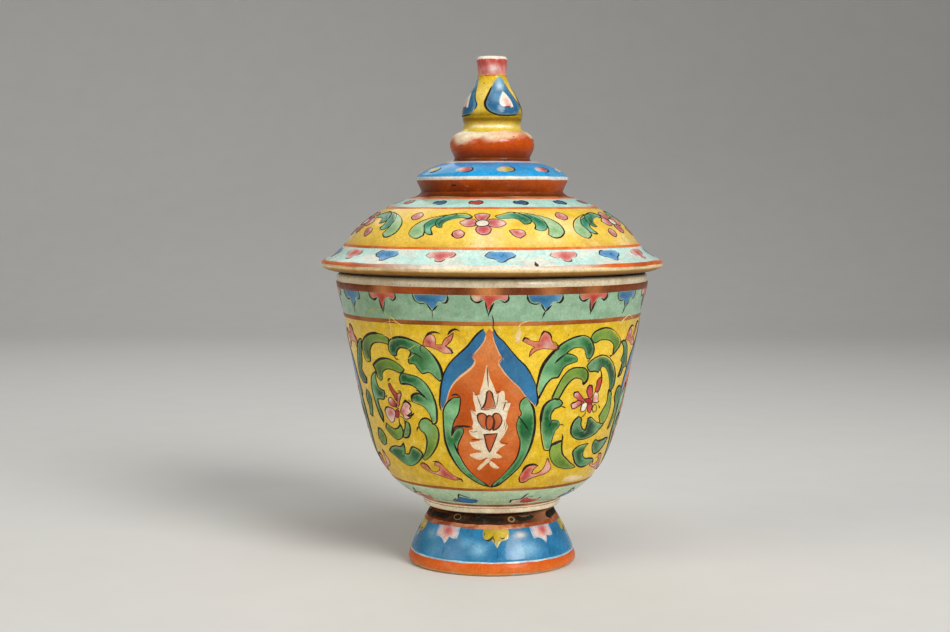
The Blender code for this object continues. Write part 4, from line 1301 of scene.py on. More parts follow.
def paint_bowl_buds():
    """Loose pink buds and flicks in the corners of the yellow ground."""
    buds = [
        [(-26.9, 74.9), (-25.8, 77.5), (-23.8, 78.7), (-22.3, 78.3), (-21.5, 76.8), (-21.9, 75.5),
         (-19.2, 75.5), (-18.1, 77.2), (-16.2, 78.3), (-14.6, 79.4), (-15.4, 77.2), (-17.9, 75.1),
         (-15.4, 74), (-15.4, 73), (-18.6, 73), (-21.4, 74), (-25, 74.9)],
        [(10.7, 76.8), (11.8, 77.7), (14.3, 76.8), (16.8, 76.6), (17.5, 78.3), (18.9, 79.6), (21.1, 78.3),
         (22.1, 76.4), (24.6, 74.9), (24.3, 73.8), (21.4, 74.1), (17.9, 74.3), (14.6, 73), (13.4, 71.9),
         (13.9, 73.8), (15.4, 74.9), (12.9, 75.8)],
        [(-36.5, 36.2), (-35.8, 37.1), (-32.7, 36.5), (-31.5, 35.1), (-29.6, 34.5), (-26.2, 35.5),
         (-25.8, 36.5), (-28.5, 36.9), (-27.7, 37.8), (-25.4, 37.8), (-22.7, 35.8), (-19.6, 33.8),
         (-17.3, 33), (-15.6, 32.7), (-19.2, 32.2), (-23.1, 32.7), (-27.7, 33.6), (-32.7, 34.5)],
        [(13, 32.5), (13.6, 34.5), (15.4, 36.5), (17.9, 37.2), (21.4, 36.9), (19.6, 35.8), (18.9, 34.5),
         (20.7, 34.2), (22.9, 34.8), (25.4, 39), (26.9, 37.9), (28.5, 35.8), (28.1, 35.1), (26.2, 34.1),
         (22.7, 33.5), (19.2, 32.8), (16.5, 31.7), (14.3, 31.4)],
    ]
    hearts = [
        (-24.6, 76.2, 1.8, CRIMSON, 0.75), (-22.4, 77.6, 1.2, BLUSH, 0.7), (-17.2, 73.6, 1.4, BLUSH, 0.6),
        (-16.2, 77.8, 1.5, CRIMSON, 0.5), (11.6, 77, 1.6, CRIMSON, 0.8), (17.6, 75.4, 1.8, CRIMSON, 0.4),
        (20.4, 75.2, 1.6, BLUSH, 0.6), (23.4, 74.5, 1.4, CRIMSON, 0.6), (-34, 35.8, 2, CRIMSON, 0.5),
        (-29, 34.2, 1.8, BLUSH, 0.6), (-22, 34.2, 2, CRIMSON, 0.5), (16, 34.5, 2.2, CRIMSON, 0.4),
        (20, 33.6, 1.6, BLUSH, 0.4), (26, 36, 2.2, BLUSH, 0.6),
    ]
    for outline in buds:
        fill(bowl, "rose", outline, ROSE, hearts, 0.5, QUARTERS, BUD_EDGE)
        stroke(bowl, outline, 0.24, True, BUD_INK, 1.5, QUARTERS)
    for path, width in (
        ([(-25.6, 77.8), (-24, 78.9), (-22, 79.4), (-19.6, 78.9)], 0.55),
        ([(-16.8, 78.6), (-15.4, 79.9), (-13.6, 80.4), (-12.2, 79.8)], 0.65),
        ([(-18, 75.4), (-16.2, 74.2), (-15.2, 73.2), (-16, 72.8)], 0.5),
        ([(-27, 75.4), (-28.2, 74.2), (-27.4, 72.6)], 0.4),
        ([(17.3, 78.4), (18.4, 79.7), (20.4, 79.2), (21.8, 77.6)], 0.6),
        ([(10.4, 76.9), (11.4, 77.9), (13.2, 77.4)], 0.5),
        ([(22.4, 76.6), (24.3, 75.4), (25, 74.2), (23.8, 73.4)], 0.65),
        ([(22.2, 73.6), (23.4, 72.4)], 0.4),
        ([(-36.6, 36.6), (-35, 37.3), (-32.8, 36.8), (-31.4, 35.4)], 0.55),
        ([(-29, 38), (-26.6, 38.2), (-24, 37)], 0.55), ([(-18, 33), (-16, 32.5), (-15.4, 31.6)], 0.5),
        ([(14, 35), (16, 37.1), (19, 37.6), (21.6, 37)], 0.55),
        ([(25, 38.8), (25.8, 39.4), (27, 38)], 0.5),
        ([(13, 33.6), (13.4, 31.8), (15.4, 31.4), (18, 32.2)], 0.45),
    ):
        stroke(bowl, path, width, layer=2, turns=QUARTERS)


# Motifs of the lid and its finial


def paint_lid_bands():
    """The lid's celadon borders and orange lines."""
    # The mark at -52 degrees darkens the border's left side: painted shade.
    ring(dome, "celadon", 117.1, 119.9, LID_CELADON, PALE_LID_CELADON, share=0.4,
         marks=[(-52, 18, CELADON, 0.5)])
    ring(dome, "celadon", 100.0, 104.6, BRIM_CELADON, WHITE, share=0.7)
    ring(dome, "iron_red", 119.7, 120.3, LINE_ORANGE, RUST, layer=1, share=0.4)
    worn = [(-58, 14, RUST, 0.5), (-15, 10, PEACH, 0.5), (50, 14, PEACH, 0.5), (160, 30, PEACH, 0.6)]
    ring(dome, "iron_red", 116.6, 117.2, LINE_ORANGE, WORN_ORANGE, layer=1, share=0.6, marks=worn)
    ring(dome, "iron_red", 104.4, 105.2, LINE_ORANGE, WORN_ORANGE, layer=1, share=0.6, marks=worn)
    faded = [
        (-14, 22, WHITE, 0.95), (8, 14, WHITE, 0.8), (26, 8, WHITE, 0.6), (140, 25, WHITE, 0.8),
        (230, 20, WHITE, 0.7),
    ]
    ring(dome, "iron_red", 98.9, 99.95, LIP_ORANGE, LIP_RUST, layer=1, wander=0.16, share=0.6,
         marks=faded)


def paint_lid_dots():
    """Red and blue dots in the lid's upper border."""
    dots = [(-61, 0), (-33, 1), (-10, 0), (16.5, 1), (44, 1), (71, 0)]
    dots += [(71 + 25.3 * k, k % 2) for k in range(1, 9)]
    for at, blue in dots:
        colour, deep = (BLUE, DEEP_BLUE) if blue else (ROSE, CRIMSON)
        shape = oval(4.2, 117.9, 119.2)
        fill(dome, "blue" if blue else "rose", shape, colour, [(0, 118.5, 1.2, deep, 0.6)], 1, (at,))
        stroke(dome, shape[0:6], 0.65, layer=2, turns=(at,))
        stroke(dome, shape[6:10], 0.6, layer=2, turns=(at,))


def paint_lid_trefoils():
    """Pink and blue trefoils that hang in the lid's lower border."""
    trefoils = [(-60, 0), (-40.5, 1), (-18.5, 0), (2.3, 1), (25, 0), (45.5, 1), (65, 0)]
    trefoils += [(65 + 19.55 * k, k % 2) for k in range(1, 12)]
    shape = [
        (-5.3, 102.7), (-4.2, 103.6), (-2, 103.9), (0.4, 104.0), (2.8, 103.9), (4.7, 103.7), (5.4, 103.0),
        (4.5, 102.3), (3.3, 102.0), (2.2, 101.6), (0.9, 100.9), (-0.5, 100.9), (-1.4, 101.5),
        (-2.6, 101.9), (-4.0, 102.1),
    ]
    for at, blue in trefoils:
        outline = shifted(shape, at)
        if blue:
            touches = [
                (at - 2, 103, 1.2, BLUE, 0.5), (at + 1.6, 102.6, 1.2, BLUE, 0.55),
                (at + 4, 103.2, 1, SKY, 0.6),
            ]
            fill(dome, "blue", outline, CORNFLOWER, touches, 1, (0,), SKY)
            stroke(dome, [(-0.7, 103.3), (0.3, 102.3), (1.3, 103.4)], 0.3, layer=2, turns=(at,),
                   colour=DEEP_BLUE)
            stroke(dome, shape[12:] + shape[:3], 0.42, False, SOOT, 2, (at,))
            stroke(dome, shape[6:13], 0.4, False, ASH_INK, 2, (at,))
        else:
            touches = [
                (at + 0.6, 102.6, 1.6, ROSE, 0.75), (at + 3.8, 103.2, 1.2, ROSE, 0.45),
                (at - 4, 103, 1.4, BLUSH, 0.6), (at - 0.5, 102.2, 1.1, CRIMSON, 0.4),
            ]
            fill(dome, "rose", outline, PINK, touches, 1, (0,), BLUSH)
            stroke(dome, shape[5:9], 0.42, False, WINE_INK, 2, (at,))
            stroke(dome, shape[9:13], 0.45, False, DARK_WINE_INK, 2, (at,))
            stroke(dome, shape[13:] + shape[:2], 0.3, False, FAINT_INK, 2, (at,))


def paint_lid_sprays():
    """The lid's flowers, each between two curling leaves, with buds round them."""
    sprays = (0, 70, 142, 216, 289)
    left = [
        ([(-22, 114.6), (-28.3, 113.7), (-32.8, 112.4), (-35, 110.6), (-35, 109.2), (-32.6, 107.9),
          (-30.6, 107.6), (-28, 108.6), (-28.4, 110.2), (-29.6, 111.6), (-28, 112.8), (-24, 113.6)],
         SPRAY_PALE, [(-32, 109.8, 1.8, SPRAY_GREEN, 0.8)]),
        ([(-17, 115.0), (-22.8, 114.5), (-28, 113.2), (-29.9, 111.6), (-28.6, 110.0), (-26, 109.0),
          (-24.4, 109), (-25.6, 110.2), (-26.1, 110.8), (-24.8, 111.8), (-21, 113)], TEAL,
         [(-27, 110, 1.6, PALE_TEAL, 0.8), (-21, 114, 2, TEAL, 0.4)]),
        ([(-9.4, 114), (-11.7, 114.8), (-17.2, 115), (-22, 114.2), (-24.6, 112.9), (-24.2, 111.6),
          (-22.6, 110.9), (-21, 111), (-21.4, 111.9), (-20.2, 112.8), (-18, 113.4), (-13.9, 113.8),
          (-11, 113.6)], TEAL,
         [(-22.5, 112.6, 2, DEEP_GREEN, 0.75), (-12, 114.3, 2.5, PALE_TEAL, 0.7),
          (-17, 114.4, 2, TEAL, 0.5)]),
    ]
    right = [
        ([(16, 115.2), (21.7, 114.5), (26.1, 113.4), (28.9, 111.6), (28.9, 109.7), (26.1, 108.2),
          (23.9, 108.1), (21.7, 109), (22.6, 110.4), (22.8, 111.5), (21.6, 112.9), (18, 114.0)],
         SPRAY_PALE, [(25.4, 110.2, 1.8, SPRAY_GREEN, 0.8)]),
        ([(10, 115.2), (16.1, 115.1), (20.6, 114), (22.6, 112.4), (22.2, 110.8), (20.4, 110),
          (18.3, 110.1), (17.0, 110.6), (17.8, 111.6), (16.7, 112.9), (13, 113.9)], TEAL,
         [(20, 112.4, 2, DEEP_GREEN, 0.4), (18.6, 110.6, 1.6, PALE_TEAL, 0.7)]),
        ([(1.1, 114.3), (3.9, 114.8), (9.4, 115.4), (14, 114.6), (16.4, 113.2), (15.4, 112.2),
          (12.8, 111.9), (11.9, 112.6), (11.2, 113.1), (9.4, 113.6), (5, 113.6), (1.7, 113.8)], TEAL,
         [(4, 114.3, 3, PALE_TEAL, 0.6), (13, 113.2, 2, DEEP_GREEN, 0.5)]),
    ]
    paint_leaves(dome, left + right, sprays, 0.3)
    petals = [
        [(-5.6, 113.0), (-7.6, 113.8), (-8.6, 114.8), (-6.6, 115.2), (-3.6, 115.3), (-1.4, 114.9),
         (-2.4, 113.8), (-3.8, 113.0)],
        [(-7.0, 112.6), (-8.4, 113.5), (-11.2, 113.5), (-14.4, 112.6), (-11.8, 111.4), (-8.4, 111.4),
         (-6.8, 112.0)],
        [(-3.0, 112.6), (-1.4, 113.5), (2.0, 113.5), (4.6, 112.9), (5.4, 112.2), (3.6, 111.4),
         (-1.0, 111.3), (-3.0, 112.0)],
        [(-5.2, 111.7), (-7.0, 110.8), (-6.6, 109.8), (-4.4, 108.9), (-1.8, 109.3), (-0.8, 110.6),
         (-2.2, 111.5)],
    ]
    hearts = [
        (-4.6, 112.4, 2.4, CRIMSON, 0.45), (-12.5, 112.8, 1.6, BLUSH, 0.8), (3.8, 112.4, 1.5, BLUSH, 0.9),
        (-5, 115, 1.1, BLUSH, 0.7),
    ]
    for order, petal in enumerate(petals):
        layer = (3 + order) * OVERLAP
        fill(dome, "rose", petal, SPRAY_ROSE, hearts, layer, sprays, BLUSH)
        stroke(dome, petal, 0.3, True, SPRAY_INK, layer + 1, sprays)
    eye = shifted(oval(2.8, 111.3, 113.2), -4.6)
    fill(dome, "white", eye, WHITE, (), 2, sprays)
    stroke(dome, eye, 0.36, True, layer=3, turns=sprays)
    drops = [
        [(-37, 115.6), (-39.6, 115.0), (-40.1, 114.4), (-37.6, 113.2), (-34.6, 113.8), (-34.2, 114.6)],
        [(-13.9, 110.3), (-16, 109.7), (-16.0, 108.8), (-14.2, 107.9), (-11.8, 108.3), (-11.2, 109.4)],
        [(6.2, 110.2), (9.6, 110.5), (12.2, 109.9), (12.6, 109.0), (10.2, 107.9), (8.2, 108.5)],
    ]
    glow = [
        (-35.6, 114.8, 1, WHITE, 0.8), (-13, 109.6, 0.9, WHITE, 0.8), (11, 109.9, 0.9, BLUSH, 0.7),
        (9.4, 109, 1, CRIMSON, 0.4),
    ]
    for drop in drops:
        fill(dome, "rose", drop, DROP_ROSE, glow, 0.5, sprays, BLUSH)
        stroke(dome, drop, 0.3, True, SPRAY_INK, 1.5, sprays)
        stroke(dome, drop[1:4], 0.5, layer=1.6, turns=sprays)


def paint_tier():
    """The blue tier's ovals, white line and rusty undercut."""
    for order in range(10):
        red = order % 2
        at = -60 + 35.5 * order
        shape = shifted(oval(7.6, 128.2, 130.0), at)
        colour, deep = (ROSE, CRIMSON) if red else (YELLOW, OLIVE)
        touches = [(at - 4, 129.2, 1.3, BLUSH if red else CREAM, 0.9), (at + 4, 129, 1.2, deep, 0.5)]
        fill(tier, "rose" if red else "yellow", shape, colour, touches, 0, (0,), SKY)
        stroke(tier, shape[1:6], 0.55, layer=1, colour=SOOT)
        stroke(tier, shape[6:9], 0.4, layer=1, colour=CREAM, family="white")
    ring(tier, "white", 125.8, 126.8, WHITE, TIER_GREY, share=0.6, marks=[(-70, 20, SKY, 0.4)])
    shaded = [
        (-62, 20, BROWN, 0.5), (0, 10, RUST, 0.4), (60, 22, ORANGE, 0.5), (150, 30, BROWN, 0.4),
        (235, 25, ORANGE, 0.4),
    ]
    ring(tier, "iron_red", 121.9, 125.6, TIER_RUST, ORANGE, top_colour=TIER_ORANGE, share=0.25,
         marks=shaded)
    fill(tier, "outline", oval(3.2, 123.6, 124.4), INK, (), 1, (-31, 118))
    stroke(tier, [(-22, 123.9), (-20, 123.7), (-18.5, 123.4)], 0.35, False, PEACH, 1, (0, 200), "white")


def paint_cushion():
    """The cushion's worn, pale shoulder."""
    edge = 137.0 + 1.2 * np.sin(RING_ANGLES)
    worn = [
        (46, 20, BRIGHT_ORANGE, 0.65), (12, 10, PEACH, 0.4), (-34, 20, IVORY, 0.5),
        (170, 30, ORANGE, 0.4),
    ]
    ring(cushion, "white", edge, 141.6, CUSHION_ORANGE, CREAM, wander=0.2, top_colour=CUSHION_CREAM,
         share=0.4, marks=worn, ragged=0.2)
    fill(cushion, "outline", oval(2.6, 139.2, 139.8), INK, (), 1, (31,))


def paint_bud():
    """The bud's blue petals with their pale drops, and its red tip."""
    petal = [
        (25, 159.2), (5, 157.5), (-2, 156), (-8, 154), (-13, 152), (-15, 150.5), (-12, 149), (-5, 147.8),
        (5, 147), (20, 146.6), (40, 146.7), (55, 147), (65, 148.5), (68, 150), (60, 152), (50, 155),
        (45, 157), (40, 158.8),
    ]
    # SKY at (27, 158) and the paler touch at (22, 156) are painted highlights at the top of each petal.
    shade = [
        (27, 158, 2.4, SKY, 0.8), (22, 156, 1.5, PETAL_HIGHLIGHT, 0.85), (-4, 150, 2.2, DEEP_BLUE, 0.45),
        (30, 147.2, 2, DEEP_BLUE, 0.5), (10, 152.5, 1.8, SKY, 0.3), (58, 148, 1.6, DEEP_BLUE, 0.5),
    ]
    drop = [
        (28, 154.6), (20, 153), (14, 150.8), (16, 149.8), (25, 149.2), (38, 149), (46, 149.3), (44, 151),
        (38, 153),
    ]
    bloom = [(30, 151.2, 1.2, PINK, 0.8), (33, 149.5, 0.8, CRIMSON, 0.9)]
    turns = (0, -101, 90, 169)
    fill(bud, "blue", petal, BLUE, shade, 0, turns, PETAL_EDGE)
    stroke(bud, petal[2:12], 0.7, layer=1, turns=turns)
    stroke(bud, petal[12:17], 0.4, layer=1, turns=turns, colour=DEEP_BLUE)
    fill(bud, "white", drop, WHITE, bloom, 1, turns)
    stroke(bud, drop[0:4], 0.4, False, SKY, 2, turns)
    stroke(bud, [(24, 149.5), (32, 149.3), (40, 149.4)], 0.5, False, OXBLOOD, 2, turns)
    blush = [
        (-42, 26, CRIMSON, 0.6, 163.4, 1.3), (40, 24, CRIMSON, 0.6, 163.6, 1.2),
        (4, 18, TIP_PALE, 0.9, 161.9, 1.1), (-32, 18, CRIMSON, 0.6, 160.6, 0.9),
        (130, 30, CRIMSON, 0.5, 163.4, 1.2), (220, 26, BLUSH, 0.8, 161.2, 1.2),
    ]
    ring(bud, "rose", 159.9, 165.0, TIP_PINK, BLUSH, wander=0.1, top_colour=TIP_RED, share=0.18,
         marks=blush)
    seam = [(34, 20, YELLOW, 0.9), (-60, 18, YELLOW, 0.7), (110, 40, YELLOW, 0.8), (230, 30, YELLOW, 0.8)]
    ring(bud, "iron_red", 159.4, 160.0, SEAM_TAN, PEACH, layer=1, wander=0.06, share=0.6, marks=seam)


# Joints, foot and wear

WAIST_RADIUS = 9.0
WAIST_HEIGHT = 143.5


def on(skin, height):
    """The (radius, height) point of a skin at this height."""
    return float(np.interp(height, skin.z, skin.r)), height


def paint_joints():
    """Slip and glaze that run smoothly over the luted joints."""
    # The waist's slip carries a painted highlight on its front.
    fillet(bud, "yellow", on(cushion, 142.3), (WAIST_RADIUS, WAIST_HEIGHT), on(bud, 144.9), WAIST_YELLOW,
           WAIST_OLIVE, 0.8)
    fillet(cushion, "iron_red", (13.4, 131.86), (12.15, 131.95), (12.35, 133.2), BROWN, RUST)
    fillet(tier, "iron_red", (25.2, 120.5), (23.75, 120.95), (23.2, 122.0), BROWN, RUST)
    # The foot's slip is dark as painted shade under the bowl's ledge.
    fillet(foot, "outline", (19.75, 18.5), (19.55, 19.25), (21.0, 19.33), SOOT, BROWN)


def paint_foot_bands():
    """The foot's rusty collar, its blue wall with deep patches and pale ones that are partly painted
    highlights, and the lines under them.
    """
    # The collar's ground is dark brown enamel, darkened in part as painted shade under the bowl's ledge.
    pale = [(62, 20, COLLAR_WORN, 0.7), (200, 25, RUST, 0.5), (-60, 14, RUST, 0.4)]
    ring(foot, "dark_collar", 15.4, 18.7, COLLAR, SOOT, share=0.7, marks=pale)
    ring(foot, "iron_red", 14.1, 15.6, COLLAR_EDGE, COLLAR_DUST, layer=0.5, wander=0.12, share=0.7,
         marks=[(2, 14, PEACH, 0.5)])
    ring(foot, "white", 3.95, 4.6, FOOT_LINE, WHITE, wander=0.12, share=0.5)
    ring(foot, "iron_red", 0.9, 4.1, FOOT_ORANGE, FOOT_BLOTCH, layer=0.5, wander=0.18,
         top_colour=FOOT_TOP_ORANGE, share=0.4)
    # Pale patches at the front are partly painted reflections; the WHITE one is a painted highlight.
    blue_washes_and_highlights = [
        (-54, 9, SKY, 0.6, 11.4, 1.8), (-31, 7, DEEP_BLUE, 0.2, 8.5, 3), (-10.5, 6.5, SKY, 0.8, 8.2, 2.0),
        (3, 5, DEEP_BLUE, 0.25, 7, 3), (26, 9, SKY, 0.85, 8.0, 2.4), (22, 4.5, WHITE, 0.8, 12.3, 0.9),
        (-70, 10, DEEP_BLUE, 0.25, 12, 3), (62, 9, DEEP_BLUE, 0.35, 12.5, 2.5),
        (46, 6, DEEP_BLUE, 0.2, 7.5, 2.5), (-46, 8, SKY, 0.35, 7, 2.5), (-21, 5, SKY, 0.4, 10, 1.4),
    ]
    blue_washes_and_highlights += [(96 + 37 * k, 8, (SKY, DEEP_BLUE)[k % 2], 0.6, 8 + 2 * (k % 3), 2.2) for k in range(6)]
    ring(foot, "blue", 4.5, 14.5, FOOT_BLUE, AZURE, share=0.5, marks=blue_washes_and_highlights)


def paint_foot_flowers():
    """Pink and yellow half-flowers that hang on the blue of the foot."""
    flowers = [(-80, 0), (-38, 1), (2.8, 0), (44, 1), (82, 0)]
    flowers += [(82 + 33 * k, k % 2) for k in range(1, 6)]
    lily = [
        (-12.5, 14.5), (-12.0, 12.2), (-10.8, 10.6), (-7, 10.9), (-3.2, 10.2), (-0.4, 8.8), (1.6, 9.9),
        (2.8, 11.2), (6.8, 10.8), (10.4, 11.0), (10.8, 12.5), (11.0, 14.5),
    ]
    trefoil = [
        (-10.3, 14.4), (-10.8, 12.7), (-9.4, 11.4), (-6.8, 10.7), (-3.4, 10.9), (-1.2, 9.6), (0.7, 8.3),
        (2.2, 9.6), (4.2, 10.7), (7.4, 10.9), (10.3, 11.9), (10.8, 13.2), (10.5, 14.4),
    ]
    for at, pink in flowers:
        if pink:
            outline = shifted(lily, at)
            touches = [
                (at, 13.4, 2.5, ROSE, 0.95), (at + 0.4, 12.8, 1.5, CRIMSON, 0.35),
                (at - 12, 13.6, 1.5, AZURE, 0.75), (at + 11, 13.6, 1.5, AZURE, 0.75),
                (at - 10, 10.9, 1.2, AZURE, 0.5), (at + 9.4, 11, 1.2, AZURE, 0.5),
                (at - 0.4, 9.2, 1.1, SKY, 0.6),
            ]
            fill(foot, "rose", outline, LILY, touches, 1, (0,), LILY_EDGE)
        else:
            outline = shifted(trefoil, at)
            touches = [
                (at - 6, 12, 1.6, FOOT_GOLD, 0.6), (at + 6, 12.6, 2, LEMON, 0.5),
                (at + 0.6, 9.6, 1.2, CREAM, 0.5),
            ]
            fill(foot, "yellow", outline, FOOT_YELLOW, touches, 1, (0,), FOOT_YELLOW_EDGE)
            inked = (
                [(-9, 11.3), (-6.4, 11.0), (-3.4, 11.6), (-2, 12.4)],
                [(-3, 12.2), (-1.6, 11.2), (-1.4, 10.2)], [(2.6, 11.9), (4.6, 11.5), (7, 11.8)],
            )
            for path in inked:
                stroke(foot, path, 0.9, layer=2, turns=(at,), colour=FOOT_INK)
            stroke(foot, [(-9.4, 13.4), (-9, 12.4)], 0.5, layer=2, turns=(at,), colour=OLIVE)
        stroke(foot, [(0.6, 8.3), (0.8, 7.2), (-0.2, 5.6)], 0.36, layer=1, turns=(at,), colour=DEEP_BLUE)


def paint_collar():
    """Dark strokes and rings on the foot's collar."""
    for turn in (0, 128, 246):
        stroke(foot, [(-72, 16.7), (-56, 17.0), (-41, 17.0)], 2.7, False, INK, 1, (turn,), "dark_collar")
        stroke(foot, [(-21, 17.1), (-10, 17.3), (-3, 17.0), (11, 16.9)], 3.0, False, INK, 1, (turn,),
               "dark_collar")
        stroke(foot, [(21, 17.3), (29, 17.1), (40, 17.2)], 2.2, False, INK, 1, (turn,), "dark_collar")
        stroke(foot, [(24, 17.9), (30, 17.6), (36, 17.7)], 0.3, False, BISCUIT, 2, (turn,))
        for at, wide, low, high in ((-33, 3.6, 16.5, 18.1), (17, 2.6, 16.3, 17.7)):
            hole = shifted(oval(wide, low, high, 8), at)
            fill(foot, "dark_collar", hole, INK, (), 1, (turn,))
            stroke(foot, hole, 0.45, True, COLLAR_RING, 2, (turn,))


def paint_wear():
    """Scratches through the enamels, rubbed patches and stray specks."""
    smeared = [(-54.5, 82.5), (-51.1, 84.9), (-46.1, 85.7), (-43.1, 84.9), (-40.6, 82.5)]
    stroke(bowl, smeared, 0.5, False, SMEAR, 2, (0, 197), "celadon")
    scratched = [
        [(-45.2, 81), (-39.7, 82.2), (-34.3, 80.9)], [(-40.3, 83.8), (-37.8, 82.3), (-35, 81)],
        [(-40.5, 83), (-40.8, 80.6), (-40.9, 77.6)], [(-45.7, 77.8), (-43.1, 77.3), (-40.5, 76.8)],
        [(-34.6, 73.1), (-32.1, 74.2), (-29.2, 75.5)], [(-35.2, 70.2), (-33.2, 71.1), (-30.7, 72.3)],
    ]
    for path in scratched:
        stroke(bowl, path, 0.2, False, SCRATCH, 3, (0, 197), "yellow")
    for path in ([(8.6, 80.4), (9.4, 81.8), (13.9, 83)], [(55.4, 80.5), (62.8, 83), (66.1, 81.7)]):
        stroke(bowl, path, 0.3, False, SCUFF, 3, (0, 143), "white")
    rubbed = [
        [(8.0, 79.1), (9.0, 80.4), (10.4, 79.9), (10.0, 78.1), (9.3, 75.9), (8.0, 76.6), (7.6, 77.9)],
        [(39.3, 30.6), (39.8, 31.8), (44, 32.4), (50, 31.7), (55, 31.3), (57, 30.2), (50.6, 29.9),
         (43, 30.1)],
    ]
    for patch in rubbed:
        fill(bowl, "white", patch, RUBBED, (), 0.3, (0, 161), YELLOW)
    for at, z in (
        (-12.5, 86.3), (-13.2, 86), (-5.1, 86.1), (-3.7, 86.1), (3.9, 89.5), (-28, 87.2), (48, 85.4),
    ):
        fill(bowl, "outline", shifted(oval(0.3, z - 0.2, z + 0.2, 6), at), SOOT, (), 0.6, (0, 90, 220))
    fill(dome, "outline", [(13, 99.4), (12.9, 100.6), (13.6, 101.3), (14.2, 100.4), (14, 99.5)], BROWN,
         (), 1, (0, 170))


# Bodies

# Heights and one radius, in millimetres, where a body's material changes
BOWL_UNDERSIDE = 19.45
BOWL_LEDGE = 23.5
BOWL_RIM = 91.5
LID_FLANGE = 46.2
LID_SEAT = 96.25


def all_round(fine):
    """One material for the whole profile."""
    return np.zeros(len(fine), int)


def bowl_zones(fine):
    """0 for the yellow wall, 1 for the inside, 2 for the underside, 3 for the cream rim and ledge."""
    past_rim = np.arange(len(fine)) >= fine[:, 1].argmax()
    cream = (fine[:, 1] > BOWL_RIM) | (fine[:, 1] < BOWL_LEDGE)
    return np.where(past_rim, np.where(fine[:, 1] < BOWL_UNDERSIDE, 2, np.where(cream, 3, 0)), 1)


def lid_zones(fine):
    """0 for the outside, 1 for the inside, 2 for the bare seat."""
    past_lip = np.arange(len(fine)) > fine[:, 0].argmax()
    under = (fine[:, 0] > LID_FLANGE) & (fine[:, 1] > LID_SEAT)
    return np.where(past_lip, np.where(under, 2, 1), 0)


def foot_zones(fine):
    """0 for the outside, 1 for the inside of the ring."""
    return (np.arange(len(fine)) > fine[:, 1].argmin()).astype(int)


# Grounds of the bodies, in millimetres: how far their bands' edges wander, and (height, colour) stops
GROUNDS = {
    # The seat darkens from bare tan clay to SOOT at 96.2 mm: painted shadow in the gap over the bowl's
    # rim.
    "seat": (0.12,
             [(96.2, SOOT), (96.5, srgb(96, 62, 22)), (97.0, srgb(158, 112, 44)), (97.7, BISCUIT),
              (98.1, srgb(222, 196, 146)), (98.8, srgb(234, 216, 176))]),
    # From 93 to 96 mm the rim is darkened as painted shadow under the lid, darkest in the gap at 96 mm.
    "bowl": (0.08,
             [(19.2, srgb(170, 140, 92)), (19.8, CREAM), (21.4, srgb(236, 222, 190)), (22.0, CREAM),
              (22.4, srgb(150, 198, 166)), (28.7, srgb(150, 198, 166)), (29.0, srgb(214, 172, 34)),
              (36, YELLOW), (72, srgb(232, 194, 46)), (82.2, YELLOW), (82.5, CELADON), (92, CELADON),
              (92.4, srgb(160, 120, 80)), (93.0, srgb(204, 188, 156)), (94.4, srgb(214, 200, 170)),
              (95.3, srgb(204, 190, 158)), (96, srgb(140, 112, 70))]),
    "foot": (0.25,
             # The foot's ground darkens to SOOT at its top, painted shade under the bowl's ledge.
             [(0, BISCUIT), (0.5, BISCUIT), (0.9, PEACH), (4.0, ORANGE), (4.4, AZURE), (8, AZURE),
              (13.6, BLUE), (14.4, DEEP_BLUE), (14.8, BROWN), (19, SOOT)]),
    "lid": (0.08,
            [(98.5, srgb(206, 174, 118)), (98.9, CREAM), (99.6, WHITE), (104.5, PALE_CELADON),
             (104.8, srgb(222, 178, 64)), (107.5, srgb(238, 200, 84)), (110, srgb(242, 204, 80)),
             (116, srgb(244, 204, 60)), (116.9, LEMON), (117.1, PALE_CELADON), (119.8, PALE_CELADON),
             (120.2, RUST), (120.9, BROWN)]),
    "tier": (0.12,
             [(121.0, BROWN), (125.6, RUST), (125.9, WHITE), (126.6, WHITE), (126.9, srgb(30, 160, 222)),
              (131.2, srgb(30, 146, 214)), (131.5, BLUSH), (131.9, WHITE)]),
    "cushion": (0.4,
                [(132.0, SOOT), (132.8, BROWN), (134.2, srgb(136, 50, 2)), (136.5, srgb(184, 70, 4)),
                 (139.6, srgb(204, 86, 10)), (140.6, CREAM), (141.4, srgb(220, 190, 60)),
                 (143.6, srgb(222, 192, 62))]),
    # The bud is bright at its waist, a painted highlight, and dark olive at 144.9 to 146.9 mm, painted
    # shade
    "bud": (0.3,
            [(143.6, srgb(214, 182, 60)), (144.9, srgb(140, 108, 0)), (145.6, srgb(126, 96, 0)),
             (146.3, srgb(170, 140, 20)), (146.9, srgb(144, 114, 6)), (148.6, srgb(202, 174, 54)),
             (154, srgb(228, 202, 100)), (159.6, YELLOW), (160.2, BLUSH), (163, PINK), (164.8, BLUSH),
             (165.4, WHITE), (166, WHITE)]),
}

# Enamel films: slot, roughness and coat of each colour family, and how far stains darken them
FAMILIES = {
    "green": ("green_enamel", 0.24, 0.3), "blue": ("blue_enamel", 0.24, 0.3),
    "rose": ("rose_enamel", 0.28, 0.3), "iron_red": ("iron_red_enamel", 0.36, 0.1),
    "celadon": ("celadon_enamel", 0.22, 0.3), "white": ("white_glaze", 0.26, 0.3),
    "yellow": ("yellow_enamel", 0.24, 0.3), "outline": ("outline_enamel", 0.4, 0.1),
    "dark_collar": ("outline_enamel", 0.7, 0.0),
}
FILM_DIRT = 0.12


